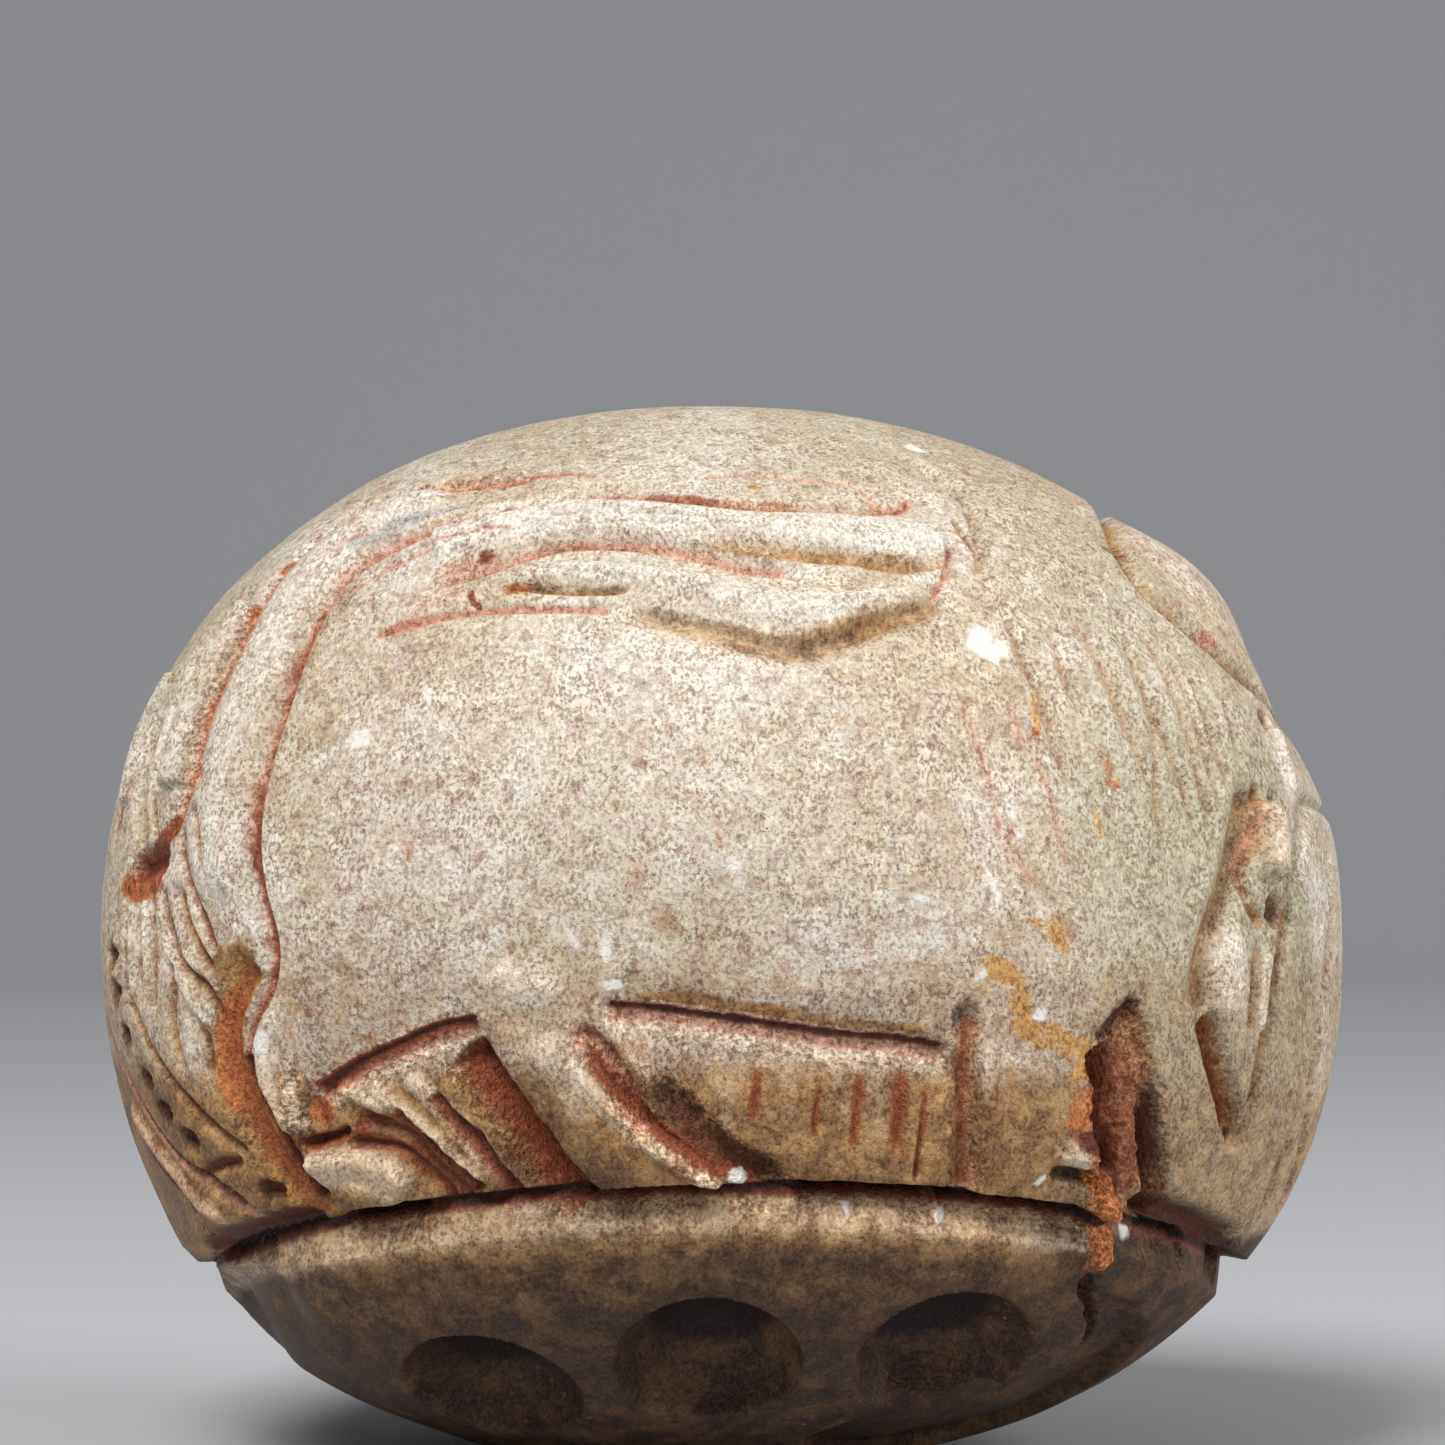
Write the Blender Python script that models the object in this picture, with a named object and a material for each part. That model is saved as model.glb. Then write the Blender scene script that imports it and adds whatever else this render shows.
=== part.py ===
"""A stone bead carved as a lying animal on a rounded pad, with drilled pits underneath.

Lengths are in millimetres, and MM turns them into metres where the mesh is made. The head is at -X, the
rump at +X, and the bead lies on a small flat under its pad. A place on the stone is a mark, written
(azimuth, elevation) in degrees as seen from the middle of the stone: azimuth 0 faces -Y, 90 is the rump
and -90 the head. Widths and depths of the carving are in millimetres too.
"""
import math

import bmesh
import bpy
import numpy as np
from mathutils import Matrix

MM = 0.001

# The uncarved stone, and how much of its height lies under its middle. A fullness of 2 gives an
# ellipse, and more gives a boxier curve.
LENGTH = 37.5
WIDTH = 31.0
HEIGHT = 32.0
KEEL_DEPTH = 15.7
CROWN_FULLNESS = 2.08
KEEL_FULLNESS = 2.25
HEAD_FULLNESS = 0.12

# The flat that it lies on, as a depth cut off the keel, and the hole for its string
REST_CUT = 0.25
STRING_HOLE = 2.5

# The groove between the animal and its pad: its elevation at the side, and how far it drops at the ends
WAIST_LEVEL = -23.6
WAIST_DROP = 8.4
WAIST_WIDTH = 1.4
WAIST_DEPTH = 0.95

# The panels below the flank, the steep cuts that they lie under, and how far the flank rounds over
# above them
PANEL_DEPTH = 0.3
PANEL_EDGE = 0.5
CUT_WIDTH = 1.5
CUT_DEPTH = 0.85
ROLL_WIDTH = 3.0
ROLL_DEPTH = 0.45

# The hind leg, the cut beside it and the trough beyond it
LEG_WIDTH = 3.0
LEG_HEIGHT = 0.35
LEG_CUT_WIDTH = 2.0
LEG_CUT_DEPTH = 1.05
TROUGH_WIDTH = 2.3
TROUGH_DEPTH = 0.55

# The raised band of the mane, the ear, the drop-shaped boss, and fine lines
MANE_WIDTH = 3.6
MANE_HEIGHT = 0.4
EAR_HEIGHT = 0.35
EAR_EDGE = 1.2
BOSS_WIDTH = 1.4
BOSS_HEIGHT = 0.5
HAIR_WIDTH = 0.55
HAIR_DEPTH = 0.28
COMB_WIDTH = 0.5
COMB_DEPTH = 0.18

# Drilled work. A steepness of 1 gives a bowl, and less gives steeper walls.
PIT_WIDTH = 5.4
PIT_DEPTH = 2.2
PIT_STEEPNESS = 0.7
EYE_WIDTH = 1.3
EYE_DEPTH = 0.7
DOT_WIDTH = 0.75
DOT_DEPTH = 0.4

# How far the carving of the far side strays from a mirror image, in degrees
FAR_DRIFT = 2.0

# The mesh: how fine the sphere is that the carving is cut in, and how many facets are kept of it
SPHERE_LEVELS = 8
FACETS = 9400
HOLE_SIDES = 20
OVERCUT = 2.0
LINE_STEP = 0.12


def eased(start, end, value):
    share = np.clip((value - start) / (end - start), 0.0, 1.0)
    return share * share * (3.0 - 2.0 * share)


def direction(azimuth, elevation):
    azimuth = np.radians(azimuth)
    elevation = np.radians(elevation)
    level = np.cos(elevation)
    return np.stack([np.sin(azimuth) * level, -np.cos(azimuth) * level, np.sin(elevation)], axis=-1)


def smooth_radius(directions):
    """Distance from the middle to the uncarved surface: an ellipsoid that is fuller at the head and below."""
    x, y, z = directions[..., 0], directions[..., 1], directions[..., 2]
    headward = eased(-0.5, 0.5, -x)
    upward = eased(-0.25, 0.25, z)
    fullness = KEEL_FULLNESS + (CROWN_FULLNESS - KEEL_FULLNESS) * upward + HEAD_FULLNESS * headward
    height = np.where(z > 0.0, HEIGHT - KEEL_DEPTH, KEEL_DEPTH)
    reach = np.abs(2.0 * x / LENGTH) ** fullness
    reach += np.abs(2.0 * y / WIDTH) ** fullness
    reach += np.abs(z / height) ** fullness
    return reach ** (-1.0 / fullness)


def rounded_line(marks, closed=False):
    """Points on the uncarved stone along a curve that runs smoothly through the marks."""
    knots = direction(*np.array(marks, float).T)
    if closed:
        knots = np.concatenate([knots[-1:], knots, knots[:2]])
    else:
        knots = np.concatenate([2 * knots[:1] - knots[1:2], knots, 2 * knots[-1:] - knots[-2:-1]])
    points = []
    for before, start, end, after in zip(knots, knots[1:], knots[2:], knots[3:]):
        steps = max(2, int(np.linalg.norm(end - start) * 0.5 * LENGTH / LINE_STEP))
        share = np.arange(steps)[:, None] / steps
        bend = (2 * before - 5 * start + 4 * end - after) * share ** 2
        bend += (3 * start - before - 3 * end + after) * share ** 3
        points.append(start + 0.5 * ((end - before) * share + bend))
    points = np.concatenate(points + [knots[-2:-1]])
    points /= np.linalg.norm(points, axis=1)[:, None]
    return points * smooth_radius(points)[:, None]


class Carving:
    """The relief over the uncarved stone, gathered tool mark by tool mark for a cloud of directions.

    The far side takes the near side's marks mirrored, with a slow drift, so it is like it but not the same.
    """

    def __init__(self, directions):
        self.far = directions[:, 1] > 0.0
        x, y, z = directions[:, 0], -np.abs(directions[:, 1]), directions[:, 2]
        drift = np.where(self.far, FAR_DRIFT * eased(0.0, 0.4, -y), 0.0)
        self.azimuth = np.degrees(np.arctan2(x, -y))
        self.elevation = np.degrees(np.arcsin(np.clip(z, -1.0, 1.0)))
        self.azimuth = self.azimuth + drift * np.sin(np.radians(4.0 * self.elevation))
        self.elevation = self.elevation + drift * np.sin(np.radians(3.0 * self.azimuth))
        near = direction(self.azimuth, self.elevation)
        self.points = near * smooth_radius(near)[:, None]
        self.cut = np.zeros(len(directions))
        self.ridge = np.zeros(len(directions))
        self.level = np.zeros(len(directions))

    def reach(self, line, width):
        """Points within a width of the line: which ones, how far, on which side and how far along it."""
        low, high = line.min(axis=0) - width, line.max(axis=0) + width
        some = np.flatnonzero(np.all((self.points > low) & (self.points < high), axis=1))
        distance = np.full(len(some), np.inf)
        nearest = np.zeros(len(some), int)
        for first in range(0, len(line), 12):
            piece = line[first:first + 12]
            low, high = piece.min(axis=0) - width, piece.max(axis=0) + width
            close = np.flatnonzero(np.all((self.points[some] > low) & (self.points[some] < high), axis=1))
            gaps = np.linalg.norm(self.points[some[close], None] - piece[None], axis=2)
            best = gaps.argmin(axis=1)
            gap = gaps[np.arange(len(close)), best]
            better = gap < distance[close]
            distance[close[better]] = gap[better]
            nearest[close[better]] = first + best[better]
        kept = distance < width
        some, distance, nearest = some[kept], distance[kept], nearest[kept]
        ahead = np.gradient(line, axis=0)[nearest]
        across = np.cross(line[nearest], ahead)
        left = np.einsum("ij,ij->i", across, self.points[some] - line[nearest]) > 0.0
        return some, distance, left, nearest

    def groove(self, marks, width, depth, lean=0.5, ends=1.0, soft=False, near_only=False):
        """A cut along the marks, or a ridge where the depth is negative.

        The share of the width given by lean lies left of the line. A soft cut has a rounded section and
        any other is a V. Its ends run out over the given length.
        """
        line = rounded_line(marks)
        some, distance, left, nearest = self.reach(line, width * max(lean, 1.0 - lean))
        wall = np.where(left, width * lean, width * (1.0 - lean))
        share = np.clip(1.0 - distance / wall, 0.0, 1.0)
        if soft:
            share = eased(0.0, 1.0, share)
        if ends:
            along = np.minimum(nearest, len(line) - 1 - nearest) * LINE_STEP
            share = share * eased(0.0, ends, along + 0.3 * ends)
        self.press(some, share * depth, near_only)

    def press(self, some, depth, near_only=False):
        """Cuts keep to the deeper one where they cross, and so do ridges."""
        if near_only:
            depth = np.where(self.far[some], 0.0, depth)
        self.cut[some] = np.maximum(self.cut[some], depth)
        self.ridge[some] = np.maximum(self.ridge[some], -depth)

    def drill(self, mark, width, depth, steepness=1.0):
        """A round pit with a bowl-shaped floor."""
        centre = direction(*mark)
        distance = np.linalg.norm(self.points - centre * smooth_radius(centre), axis=1)
        some = np.flatnonzero(distance < width / 2)
        self.press(some, depth * (1.0 - (2.0 * distance[some] / width) ** 2) ** steepness)

    def field(self, marks, height, edge, near_only=False):
        """A raised area inside a closed line, or a sunk one, with a sloping edge of the given width."""
        outline = rounded_line(marks, closed=True)[::4]
        middle = outline.mean(axis=0) / np.linalg.norm(outline.mean(axis=0))
        aside = np.cross(middle, [0.0, 0.0, 1.0])
        aside /= np.linalg.norm(aside)
        chart = np.stack([aside, np.cross(middle, aside)], axis=1)
        corners = outline @ chart
        low, high = corners.min(axis=0), corners.max(axis=0)
        spots = self.points @ chart
        inside = np.all((spots > low) & (spots < high), axis=1) & (self.points @ middle > 0.0)
        some = np.flatnonzero(inside)
        spots = spots[some]
        crossings = np.zeros(len(some), int)
        distance = np.full(len(some), np.inf)
        for (x0, y0), (x1, y1) in zip(corners, np.roll(corners, -1, axis=0)):
            spans = (y0 > spots[:, 1]) != (y1 > spots[:, 1])
            if y1 != y0:
                crossings += spans & (spots[:, 0] < (x1 - x0) * (spots[:, 1] - y0) / (y1 - y0) + x0)
            run = np.array([x1 - x0, y1 - y0])
            share = np.clip((spots - [x0, y0]) @ run / max(run @ run, 1e-9), 0.0, 1.0)
            distance = np.minimum(distance, np.linalg.norm(spots - [x0, y0] - share[:, None] * run, axis=1))
        amount = np.where(crossings % 2 == 1, eased(0.0, edge, distance), 0.0) * height
        if near_only:
            amount = np.where(self.far[some], 0.0, amount)
        self.level[some] += amount

    def height(self):
        return self.level + self.ridge - self.cut


def waist(azimuth):
    return WAIST_LEVEL - WAIST_DROP * abs(math.sin(math.radians(azimuth))) ** 5


def carve_waist(stone):
    """The deep groove round the bead, with a steep wall under the animal and a bevel on the pad."""
    ring = [(azimuth, waist(azimuth)) for azimuth in range(-90, 91, 10)]
    stone.groove(ring, WAIST_WIDTH, WAIST_DEPTH, lean=0.25, ends=0)
    stone.groove([(-90, -14), (-76, -18), (-60, -24)], 12.0, 0.4, ends=4, soft=True)
    stone.groove([(-90, -37), (-70, -34), (-52, -31)], 6.0, 0.9, ends=4, soft=True)
    stone.groove([(-66, -28.5), (-50, -25.5), (-43, -24.5)], 1.5, 0.9, lean=0.65, soft=True)
    stone.groove([(47, -24), (56, -26), (66, -28.5)], 1.6, 0.9, lean=0.65, soft=True)


def carve_panels(stone):
    """The two sunk panels below the flank, each under a steep cut, and the legs between them."""
    stone.field([(-44, -12), (-37, -9.5), (-31, -7), (-24, -5.5), (-21, -13), (-14, -24), (-28, -25),
                 (-43, -25), (-45, -18)], -PANEL_DEPTH, PANEL_EDGE)
    stone.field([(-12, -4), (-2, -5), (8, -6.5), (25, -8.5), (27, -24), (4, -24), (-3, -17), (-9, -11)],
                -PANEL_DEPTH, PANEL_EDGE)
    for cut in ([(-43, -12), (-37.5, -9.3), (-31.5, -6.8), (-25, -5.2)],
                [(-12.5, -3.8), (-2, -5), (5, -6), (13.5, -7), (24, -8.3)]):
        stone.groove(cut, ROLL_WIDTH, ROLL_DEPTH, lean=0.82, soft=True)
        stone.groove(cut, CUT_WIDTH, CUT_DEPTH, lean=0.12, ends=0.4)
    stone.groove([(-50, -13), (-30, -6), (-12, -2), (8, -4.5), (34, -7)], 9.0, 0.3, soft=True, ends=4)
    stone.groove([(-25, -1.5), (-21, -2.2), (-16, -3)], 2.0, -0.25, soft=True, ends=1.5)

    # The hind leg slants between two deep cuts, with a trough beyond the second
    stone.groove([(-26, -7.5), (-23.5, -10.5), (-18.7, -17.3), (-13.5, -24)], LEG_CUT_WIDTH, LEG_CUT_DEPTH,
                 lean=0.14, ends=0.4)
    stone.groove([(-15, -6), (-11.2, -9.5), (-8.5, -14.5), (-7, -17)], 1.0, 0.8, lean=0.15, ends=0.4)
    stone.groove([(-14, -8.5), (-9.5, -14.3), (-4, -18.9), (1.5, -22), (4, -23.7)], 1.1, 0.4, soft=True)
    stone.groove([(-15.5, -9.5), (-10.3, -15), (-5, -19.5), (0.5, -22.7)], 0.8, -0.35, soft=True)
    stone.groove([(-6, -13.8), (-2.3, -17.3), (1.5, -20.3), (8, -23.6)], TROUGH_WIDTH, TROUGH_DEPTH,
                 lean=0.25, soft=True)
    stone.groove([(-20, -7), (-16.5, -12), (-12.5, -18), (-8, -22)], LEG_WIDTH, -LEG_HEIGHT, soft=True, ends=2)

    # The paw, the slit over it, and the slanting cuts above
    stone.groove([(-44.5, -19), (-38, -18.8), (-33.3, -21.8)], 1.5, -0.4, lean=0.3, soft=True)
    stone.groove([(-42, -22), (-38, -21.7), (-34.5, -23)], 1.8, -0.3, soft=True)
    stone.groove([(-44.8, -17), (-39.3, -15.8)], 0.6, 0.7, lean=0.3, ends=0.4)
    stone.groove([(-40, -17.3), (-34.5, -18.3), (-30.3, -22.3), (-29.5, -24.5)], 0.9, 0.5, lean=0.7, ends=0.4)
    for top, middle, foot, width in (((-38.7, -14.2), (-32.8, -17.3), (-27.5, -24.3), 1.1),
                                     ((-34, -13.8), (-30, -18.2), (-26, -22.7), 0.8),
                                     ((-30, -12.5), (-25.8, -17.5), (-22, -23.7), 0.8)):
        stone.groove([top, middle, foot], width, 0.55, lean=0.35, ends=0.4)

    # Upright strokes on the right panel, and its shallow right end
    for azimuth, top, foot, width in ((3.5, -10.3, -17, 0.7),
                                      (10, -12, -18.5, 0.5),
                                      (14.3, -10.7, -19.5, 0.7),
                                      (18.8, -10.5, -20, 1.0),
                                      (21.3, -12, -23, 0.4)):
        stone.groove([(azimuth, top), (azimuth, foot)], width, 0.2, soft=True)
    stone.groove([(25.3, -5), (25.5, -13.5), (26.7, -23)], 1.5, 0.5, soft=True)


def carve_mane(stone):
    """The band of the mane, between a line along the flank and a second one by the head."""
    stone.groove([(-12, 54), (-27, 50.5), (-40, 46), (-49.5, 39.5), (-51, 33), (-50, 24), (-50, 15),
                  (-48.3, 6.5), (-46.3, 1.5), (-46.5, -2.5), (-49.5, -10)], 0.9, 0.4, lean=0.35)
    stone.groove([(-33.5, 55), (-48.5, 51.5), (-61.5, 46), (-64, 42), (-61.7, 32), (-61, 22), (-60.2, 17),
                  (-63, 10)], 0.9, 0.4)
    stone.groove([(-48.5, 0), (-51.2, -5.5), (-50, -12.5), (-46.8, -19.5), (-44, -24.5)], 2.0, 0.5,
                 soft=True)
    stone.groove([(-50, -8.5), (-47.3, -15), (-44.3, -23)], 0.7, 0.75, lean=0.65)
    stone.groove([(-44, 50), (-54, 45), (-57, 37), (-56, 28), (-55.5, 19), (-51, 5)], MANE_WIDTH,
                 -MANE_HEIGHT, soft=True, ends=2)


def carve_head(stone):
    """Brow ridges, the eye, a fan of hair, and the muzzle with its row of dots over the lips."""
    stone.groove([(-68, 36), (-70.5, 25), (-72, 20), (-71, 14), (-67, 9.5)], 1.3, 0.4, soft=True)
    stone.groove([(-71.5, 20), (-66.3, 13), (-64.5, 10.5)], 0.5, 0.3)
    stone.groove([(-64.5, 34), (-64.5, 27), (-63.5, 15)], 2.2, -0.4, soft=True)
    stone.drill((-64.5, 8.5), EYE_WIDTH, EYE_DEPTH)
    stone.groove([(-76.3, 13), (-75.7, 9.5)], 1.0, 0.3, soft=True, ends=0.4)
    for strand in ([(-60, 11.5), (-57, 6), (-53.2, 0.5)],
                   [(-69.5, 6), (-68, -2), (-67.3, -4.5)],
                   [(-66.8, 6), (-64.7, -2), (-64.2, -4.5)],
                   [(-64, 6), (-62.5, -1), (-62.2, -5)],
                   [(-62, 6), (-58.5, 0), (-52, -5.5)],
                   [(-59, 6), (-55.5, 0.7), (-53.5, -1.2)],
                   [(-59.5, -0.5), (-59, -5.5), (-57.5, -10.3)],
                   [(-55, -5.5), (-54, -8), (-54, -11)]):
        stone.groove(strand, HAIR_WIDTH, HAIR_DEPTH)
    stone.groove([(-67.5, -4), (-63.5, -8.2), (-57, -13.3), (-50.5, -17.7)], 0.6, 0.35)
    for mark in ((-73, -0.5), (-72, -3.8), (-69.5, -7.5), (-65.5, -11.3), (-62.5, -14), (-58.8, -16.5),
                 (-49, -21.3)):
        stone.drill(mark, DOT_WIDTH, DOT_DEPTH)
    stone.groove([(-59, -19.8), (-55.5, -18.8), (-51.5, -18.3)], 0.7, 0.35)
    stone.groove([(-90, -5), (-79, -8), (-68, -14.5), (-61, -19), (-53.5, -22.5), (-52, -25)], 0.9, 0.45)
    stone.groove([(-90, -12), (-78, -15.5), (-67.5, -21.5), (-63, -27.5)], 0.9, 0.45)


def carve_ear(stone):
    """The long leaf laid back over the flank, with a hooked band above it."""
    leaf = [(-30, 38.5), (-24, 42.5), (-14, 44.5), (-3, 43.5), (8, 41.5), (22, 41.5), (29, 38.5),
            (23, 37), (12, 34), (4, 35), (-8, 38), (-20, 38.5)]
    stone.field(leaf, EAR_HEIGHT, EAR_EDGE)
    stone.groove([(-36.5, 38.5), (-27.5, 42.8), (-17, 45.5), (-3, 44.5), (9, 42.5)], 0.9, 0.35, lean=0.65,
                 soft=True)
    stone.groove([(-2, 46.5), (11.5, 44.7), (25, 42.7), (32, 43)], 1.1, 0.4, soft=True)
    stone.groove([(-11, 38), (-2, 36.2), (8.5, 33.7), (16, 35.3), (22, 37.7)], 1.5, 0.45, lean=0.3, soft=True)
    stone.groove([(-42, 31.7), (-35.3, 34.3), (-23, 36.6), (-14, 37)], HAIR_WIDTH, 0.2)
    stone.groove([(-28.5, 38), (-22, 39), (-12, 39.8)], HAIR_WIDTH, 0.2, soft=True)
    stone.groove([(-41, 43), (-22, 49.3), (3, 48.5), (25.5, 46.5), (33, 45)], 2.8, -0.35, soft=True)
    stone.groove([(-26.5, 51.5), (-3.5, 52.7), (16.5, 51.7), (27, 51)], 0.8, 0.3, soft=True)
    stone.groove([(43.5, 53), (39.5, 46.7), (34, 40.5)], 0.7, 0.35, soft=True)
    stone.groove([(40, 62), (43, 56), (42, 50)], 1.0, 0.25, soft=True, ends=2)


def carve_rump(stone):
    """Combed hair over the haunch, a hump behind it, a drop-shaped boss and the lobes at the end."""
    for strand in ([(36, 36.5), (36.5, 29.5), (38, 16)],
                   [(41.5, 35.5), (41, 28), (41.5, 24)],
                   [(45.5, 35.5), (46.5, 28), (48, 15)],
                   [(52.5, 34), (51, 26), (47.7, 14)],
                   [(52, 36), (55.5, 29), (54.5, 12)],
                   [(60, 31), (58.5, 23), (58.5, 15)],
                   [(63.5, 28), (62.7, 23), (61.5, 18)],
                   [(57.5, 31), (57, 26), (56.3, 14)]):
        stone.groove(strand, COMB_WIDTH, COMB_DEPTH)
    stone.groove([(90, 37), (80, 38), (70, 38)], 6.5, -0.4, soft=True, ends=2)
    stone.groove([(90, 49), (76, 46.5), (68, 43.5), (62.5, 37.5), (65, 32.5), (70, 27.5), (80, 22.5),
                  (90, 21)], 1.4, 0.55, lean=0.35)
    stone.groove([(90, 17), (82, 16), (74, 15)], 6.0, 0.55, soft=True, ends=3)

    # The boss, its pit and the lines that close round it
    stone.groove([(62.3, 14), (61.7, 10.5), (60.5, 7)], BOSS_WIDTH, -BOSS_HEIGHT, soft=True, ends=0.8)
    stone.groove([(63, 16), (58.8, 9.7), (57.5, 7.5), (59.5, 2.5)], 0.7, 0.45)
    stone.groove([(65.5, 15), (63.5, 11), (64.5, 4.5), (60.3, -3.5), (58.3, -14)], 0.7, 0.42)
    stone.drill((61.7, 4), 1.2, 0.6)
    stone.groove([(61.5, 15), (56, 7), (51.5, -0.5), (50.5, -5)], 1.5, 0.5, lean=0.35, soft=True)
    stone.groove([(58.3, 1), (57.3, -2.5), (57, -7)], HAIR_WIDTH, HAIR_DEPTH)

    # Long lobes run down to the waist past the boss
    stone.groove([(90, 12), (78, 13.5), (69.5, 11), (66, 5.5)], 0.9, 0.4)
    stone.groove([(77, 9), (73, 0), (69.8, -10), (71, -14), (75, -24)], 0.9, 0.4)
    stone.groove([(68, -16), (67.5, -19), (68.5, -24)], HAIR_WIDTH, HAIR_DEPTH)
    stone.groove([(51, -5), (53.2, -10), (57, -16)], 1.2, 0.7, lean=0.4, soft=True, ends=0.6)


def carve_crack(stone):
    """Breaks on the near side: a crack down into the pad, the strip that came away, and a chipped edge."""
    stone.field([(43, -3.5), (38.7, -8.3), (40, -12), (43.5, -23.5), (52.5, -25), (47, -15.5), (44.5, -6)],
                -0.45, 0.35, near_only=True)
    stone.groove([(43.3, -3.7), (38.8, -8), (40.3, -12.5), (41.7, -18), (43.5, -23.5)], 1.0, 1.2,
                 ends=0.6, near_only=True)
    stone.groove([(45.2, -11), (48, -19.5), (50.5, -24)], 1.1, 0.6, soft=True, near_only=True)
    stone.groove([(44, -31), (46.5, -33.5), (50, -36.5), (54.5, -42)], 0.8, 0.6, ends=0.6, near_only=True)
    stone.field([(44, -33), (48, -37), (50, -43), (40, -47), (28, -50.5), (15, -62), (40, -70), (70, -60),
                 (66, -42), (54, -34)], -0.55, 0.5, near_only=True)


def drill_underside(stone):
    """The cut face of the pad: three bowls along each side."""
    for mark in ((-34.5, -47), (-2, -45), (31, -43)):
        stone.drill(mark, PIT_WIDTH, PIT_DEPTH, PIT_STEEPNESS)


def carved_mesh(name):
    """A fine sphere pushed out to the stone's form and cut by each part of the carving in turn."""
    ball = bmesh.new()
    bmesh.ops.create_icosphere(ball, subdivisions=SPHERE_LEVELS, radius=1.0)
    mesh = bpy.data.meshes.new(name)
    ball.to_mesh(mesh)
    ball.free()
    directions = np.empty(3 * len(mesh.vertices))
    mesh.vertices.foreach_get("co", directions)
    directions = directions.reshape(-1, 3)
    directions /= np.linalg.norm(directions, axis=1)[:, None]
    stone = Carving(directions)
    for carve in (carve_panels, carve_waist, carve_mane, carve_head, carve_ear, carve_rump, carve_crack,
                  drill_underside):
        carve(stone)
    points = directions * (smooth_radius(directions) + stone.height())[:, None]
    points[:, 2] += KEEL_DEPTH - REST_CUT
    mesh.vertices.foreach_set("co", (points * MM).ravel())
    mesh.update()
    return mesh


def cutter(name, build):
    """A guide object that a Boolean takes away from the stone."""
    shape = bmesh.new()
    build(shape)
    mesh = bpy.data.meshes.new(name)
    shape.to_mesh(mesh)
    shape.free()
    tool = bpy.data.objects.new(name, mesh)
    tool.hide_render = True
    tool.display_type = "WIRE"
    bpy.context.collection.objects.link(tool)
    return tool


def string_hole(shape):
    """A round bar that runs lengthwise through the middle of the stone."""
    bmesh.ops.create_cone(shape, cap_ends=True, segments=HOLE_SIDES, depth=(LENGTH + 2 * OVERCUT) * MM,
                          radius1=STRING_HOLE / 2 * MM, radius2=STRING_HOLE / 2 * MM)
    bmesh.ops.rotate(shape, verts=shape.verts, matrix=Matrix.Rotation(math.pi / 2, 3, "Y"))
    bmesh.ops.translate(shape, verts=shape.verts, vec=(0.0, 0.0, (KEEL_DEPTH - REST_CUT) * MM))


def ground(shape):
    """A block whose top face is the plane that the bead lies on."""
    bmesh.ops.create_cube(shape, size=1.0)
    bmesh.ops.scale(shape, verts=shape.verts, vec=(LENGTH * MM, WIDTH * MM, OVERCUT * MM))
    bmesh.ops.translate(shape, verts=shape.verts, vec=(0.0, 0.0, -OVERCUT / 2 * MM))


def stone_material():
    material = bpy.data.materials.new("beige_stone")
    material.use_nodes = True
    surface = material.node_tree.nodes["Principled BSDF"]
    surface.inputs["Base Color"].default_value = (0.52, 0.42, 0.30, 1.0)
    surface.inputs["Roughness"].default_value = 0.55
    surface.inputs["Metallic"].default_value = 0.0
    return material


def build_stone():
    mesh = carved_mesh("carved_stone")
    mesh.materials.append(stone_material())
    mesh.shade_smooth()
    stone = bpy.data.objects.new("carved_stone", mesh)
    bpy.context.collection.objects.link(stone)
    facets = stone.modifiers.new("Facets", "DECIMATE")
    facets.ratio = FACETS / len(mesh.polygons)
    for name, shape in (("string_hole", string_hole), ("ground", ground)):
        cut = stone.modifiers.new(name, "BOOLEAN")
        cut.operation = "DIFFERENCE"
        cut.solver = "EXACT"
        cut.object = cutter(name + "_cutter", shape)
    return stone


for leftover in list(bpy.data.objects):
    bpy.data.objects.remove(leftover, do_unlink=True)
build_stone()
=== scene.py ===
import itertools
import math

import bpy
import numpy as np
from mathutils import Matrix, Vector


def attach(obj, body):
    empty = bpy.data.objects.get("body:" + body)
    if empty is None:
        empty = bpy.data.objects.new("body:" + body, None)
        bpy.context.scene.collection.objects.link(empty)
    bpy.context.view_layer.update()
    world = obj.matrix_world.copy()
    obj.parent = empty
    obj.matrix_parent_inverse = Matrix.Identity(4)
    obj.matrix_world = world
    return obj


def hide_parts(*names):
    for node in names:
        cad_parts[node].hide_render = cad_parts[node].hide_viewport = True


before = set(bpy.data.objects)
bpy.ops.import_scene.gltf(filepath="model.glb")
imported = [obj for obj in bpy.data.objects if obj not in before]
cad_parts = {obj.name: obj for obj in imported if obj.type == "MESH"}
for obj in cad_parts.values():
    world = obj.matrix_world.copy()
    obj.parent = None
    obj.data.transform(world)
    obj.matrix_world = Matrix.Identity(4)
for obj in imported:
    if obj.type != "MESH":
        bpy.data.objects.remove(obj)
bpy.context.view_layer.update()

# The blank
# One pebble of fine speckled limestone, ground to a rounded loaf before any carving: an ellipsoid, a little
# boxier under the waist and at the head. Lengths are in millimetres. A place on the stone is a mark of
# azimuth and elevation in degrees, seen from its middle: azimuth 0 faces the camera and 90 the rump.
MM = 0.001
LENGTH = 37.5
WIDTH = 31.0
HEIGHT = 32.0
KEEL_DEPTH = 15.7
CROWN_FULLNESS = 2.08
KEEL_FULLNESS = 2.25
HEAD_FULLNESS = 0.12
REST_CUT = 0.25
STRING_HOLE = 2.5


def eased(start, end, value):
    share = np.clip((value - start) / (end - start), 0.0, 1.0)
    return share * share * (3.0 - 2.0 * share)


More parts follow.
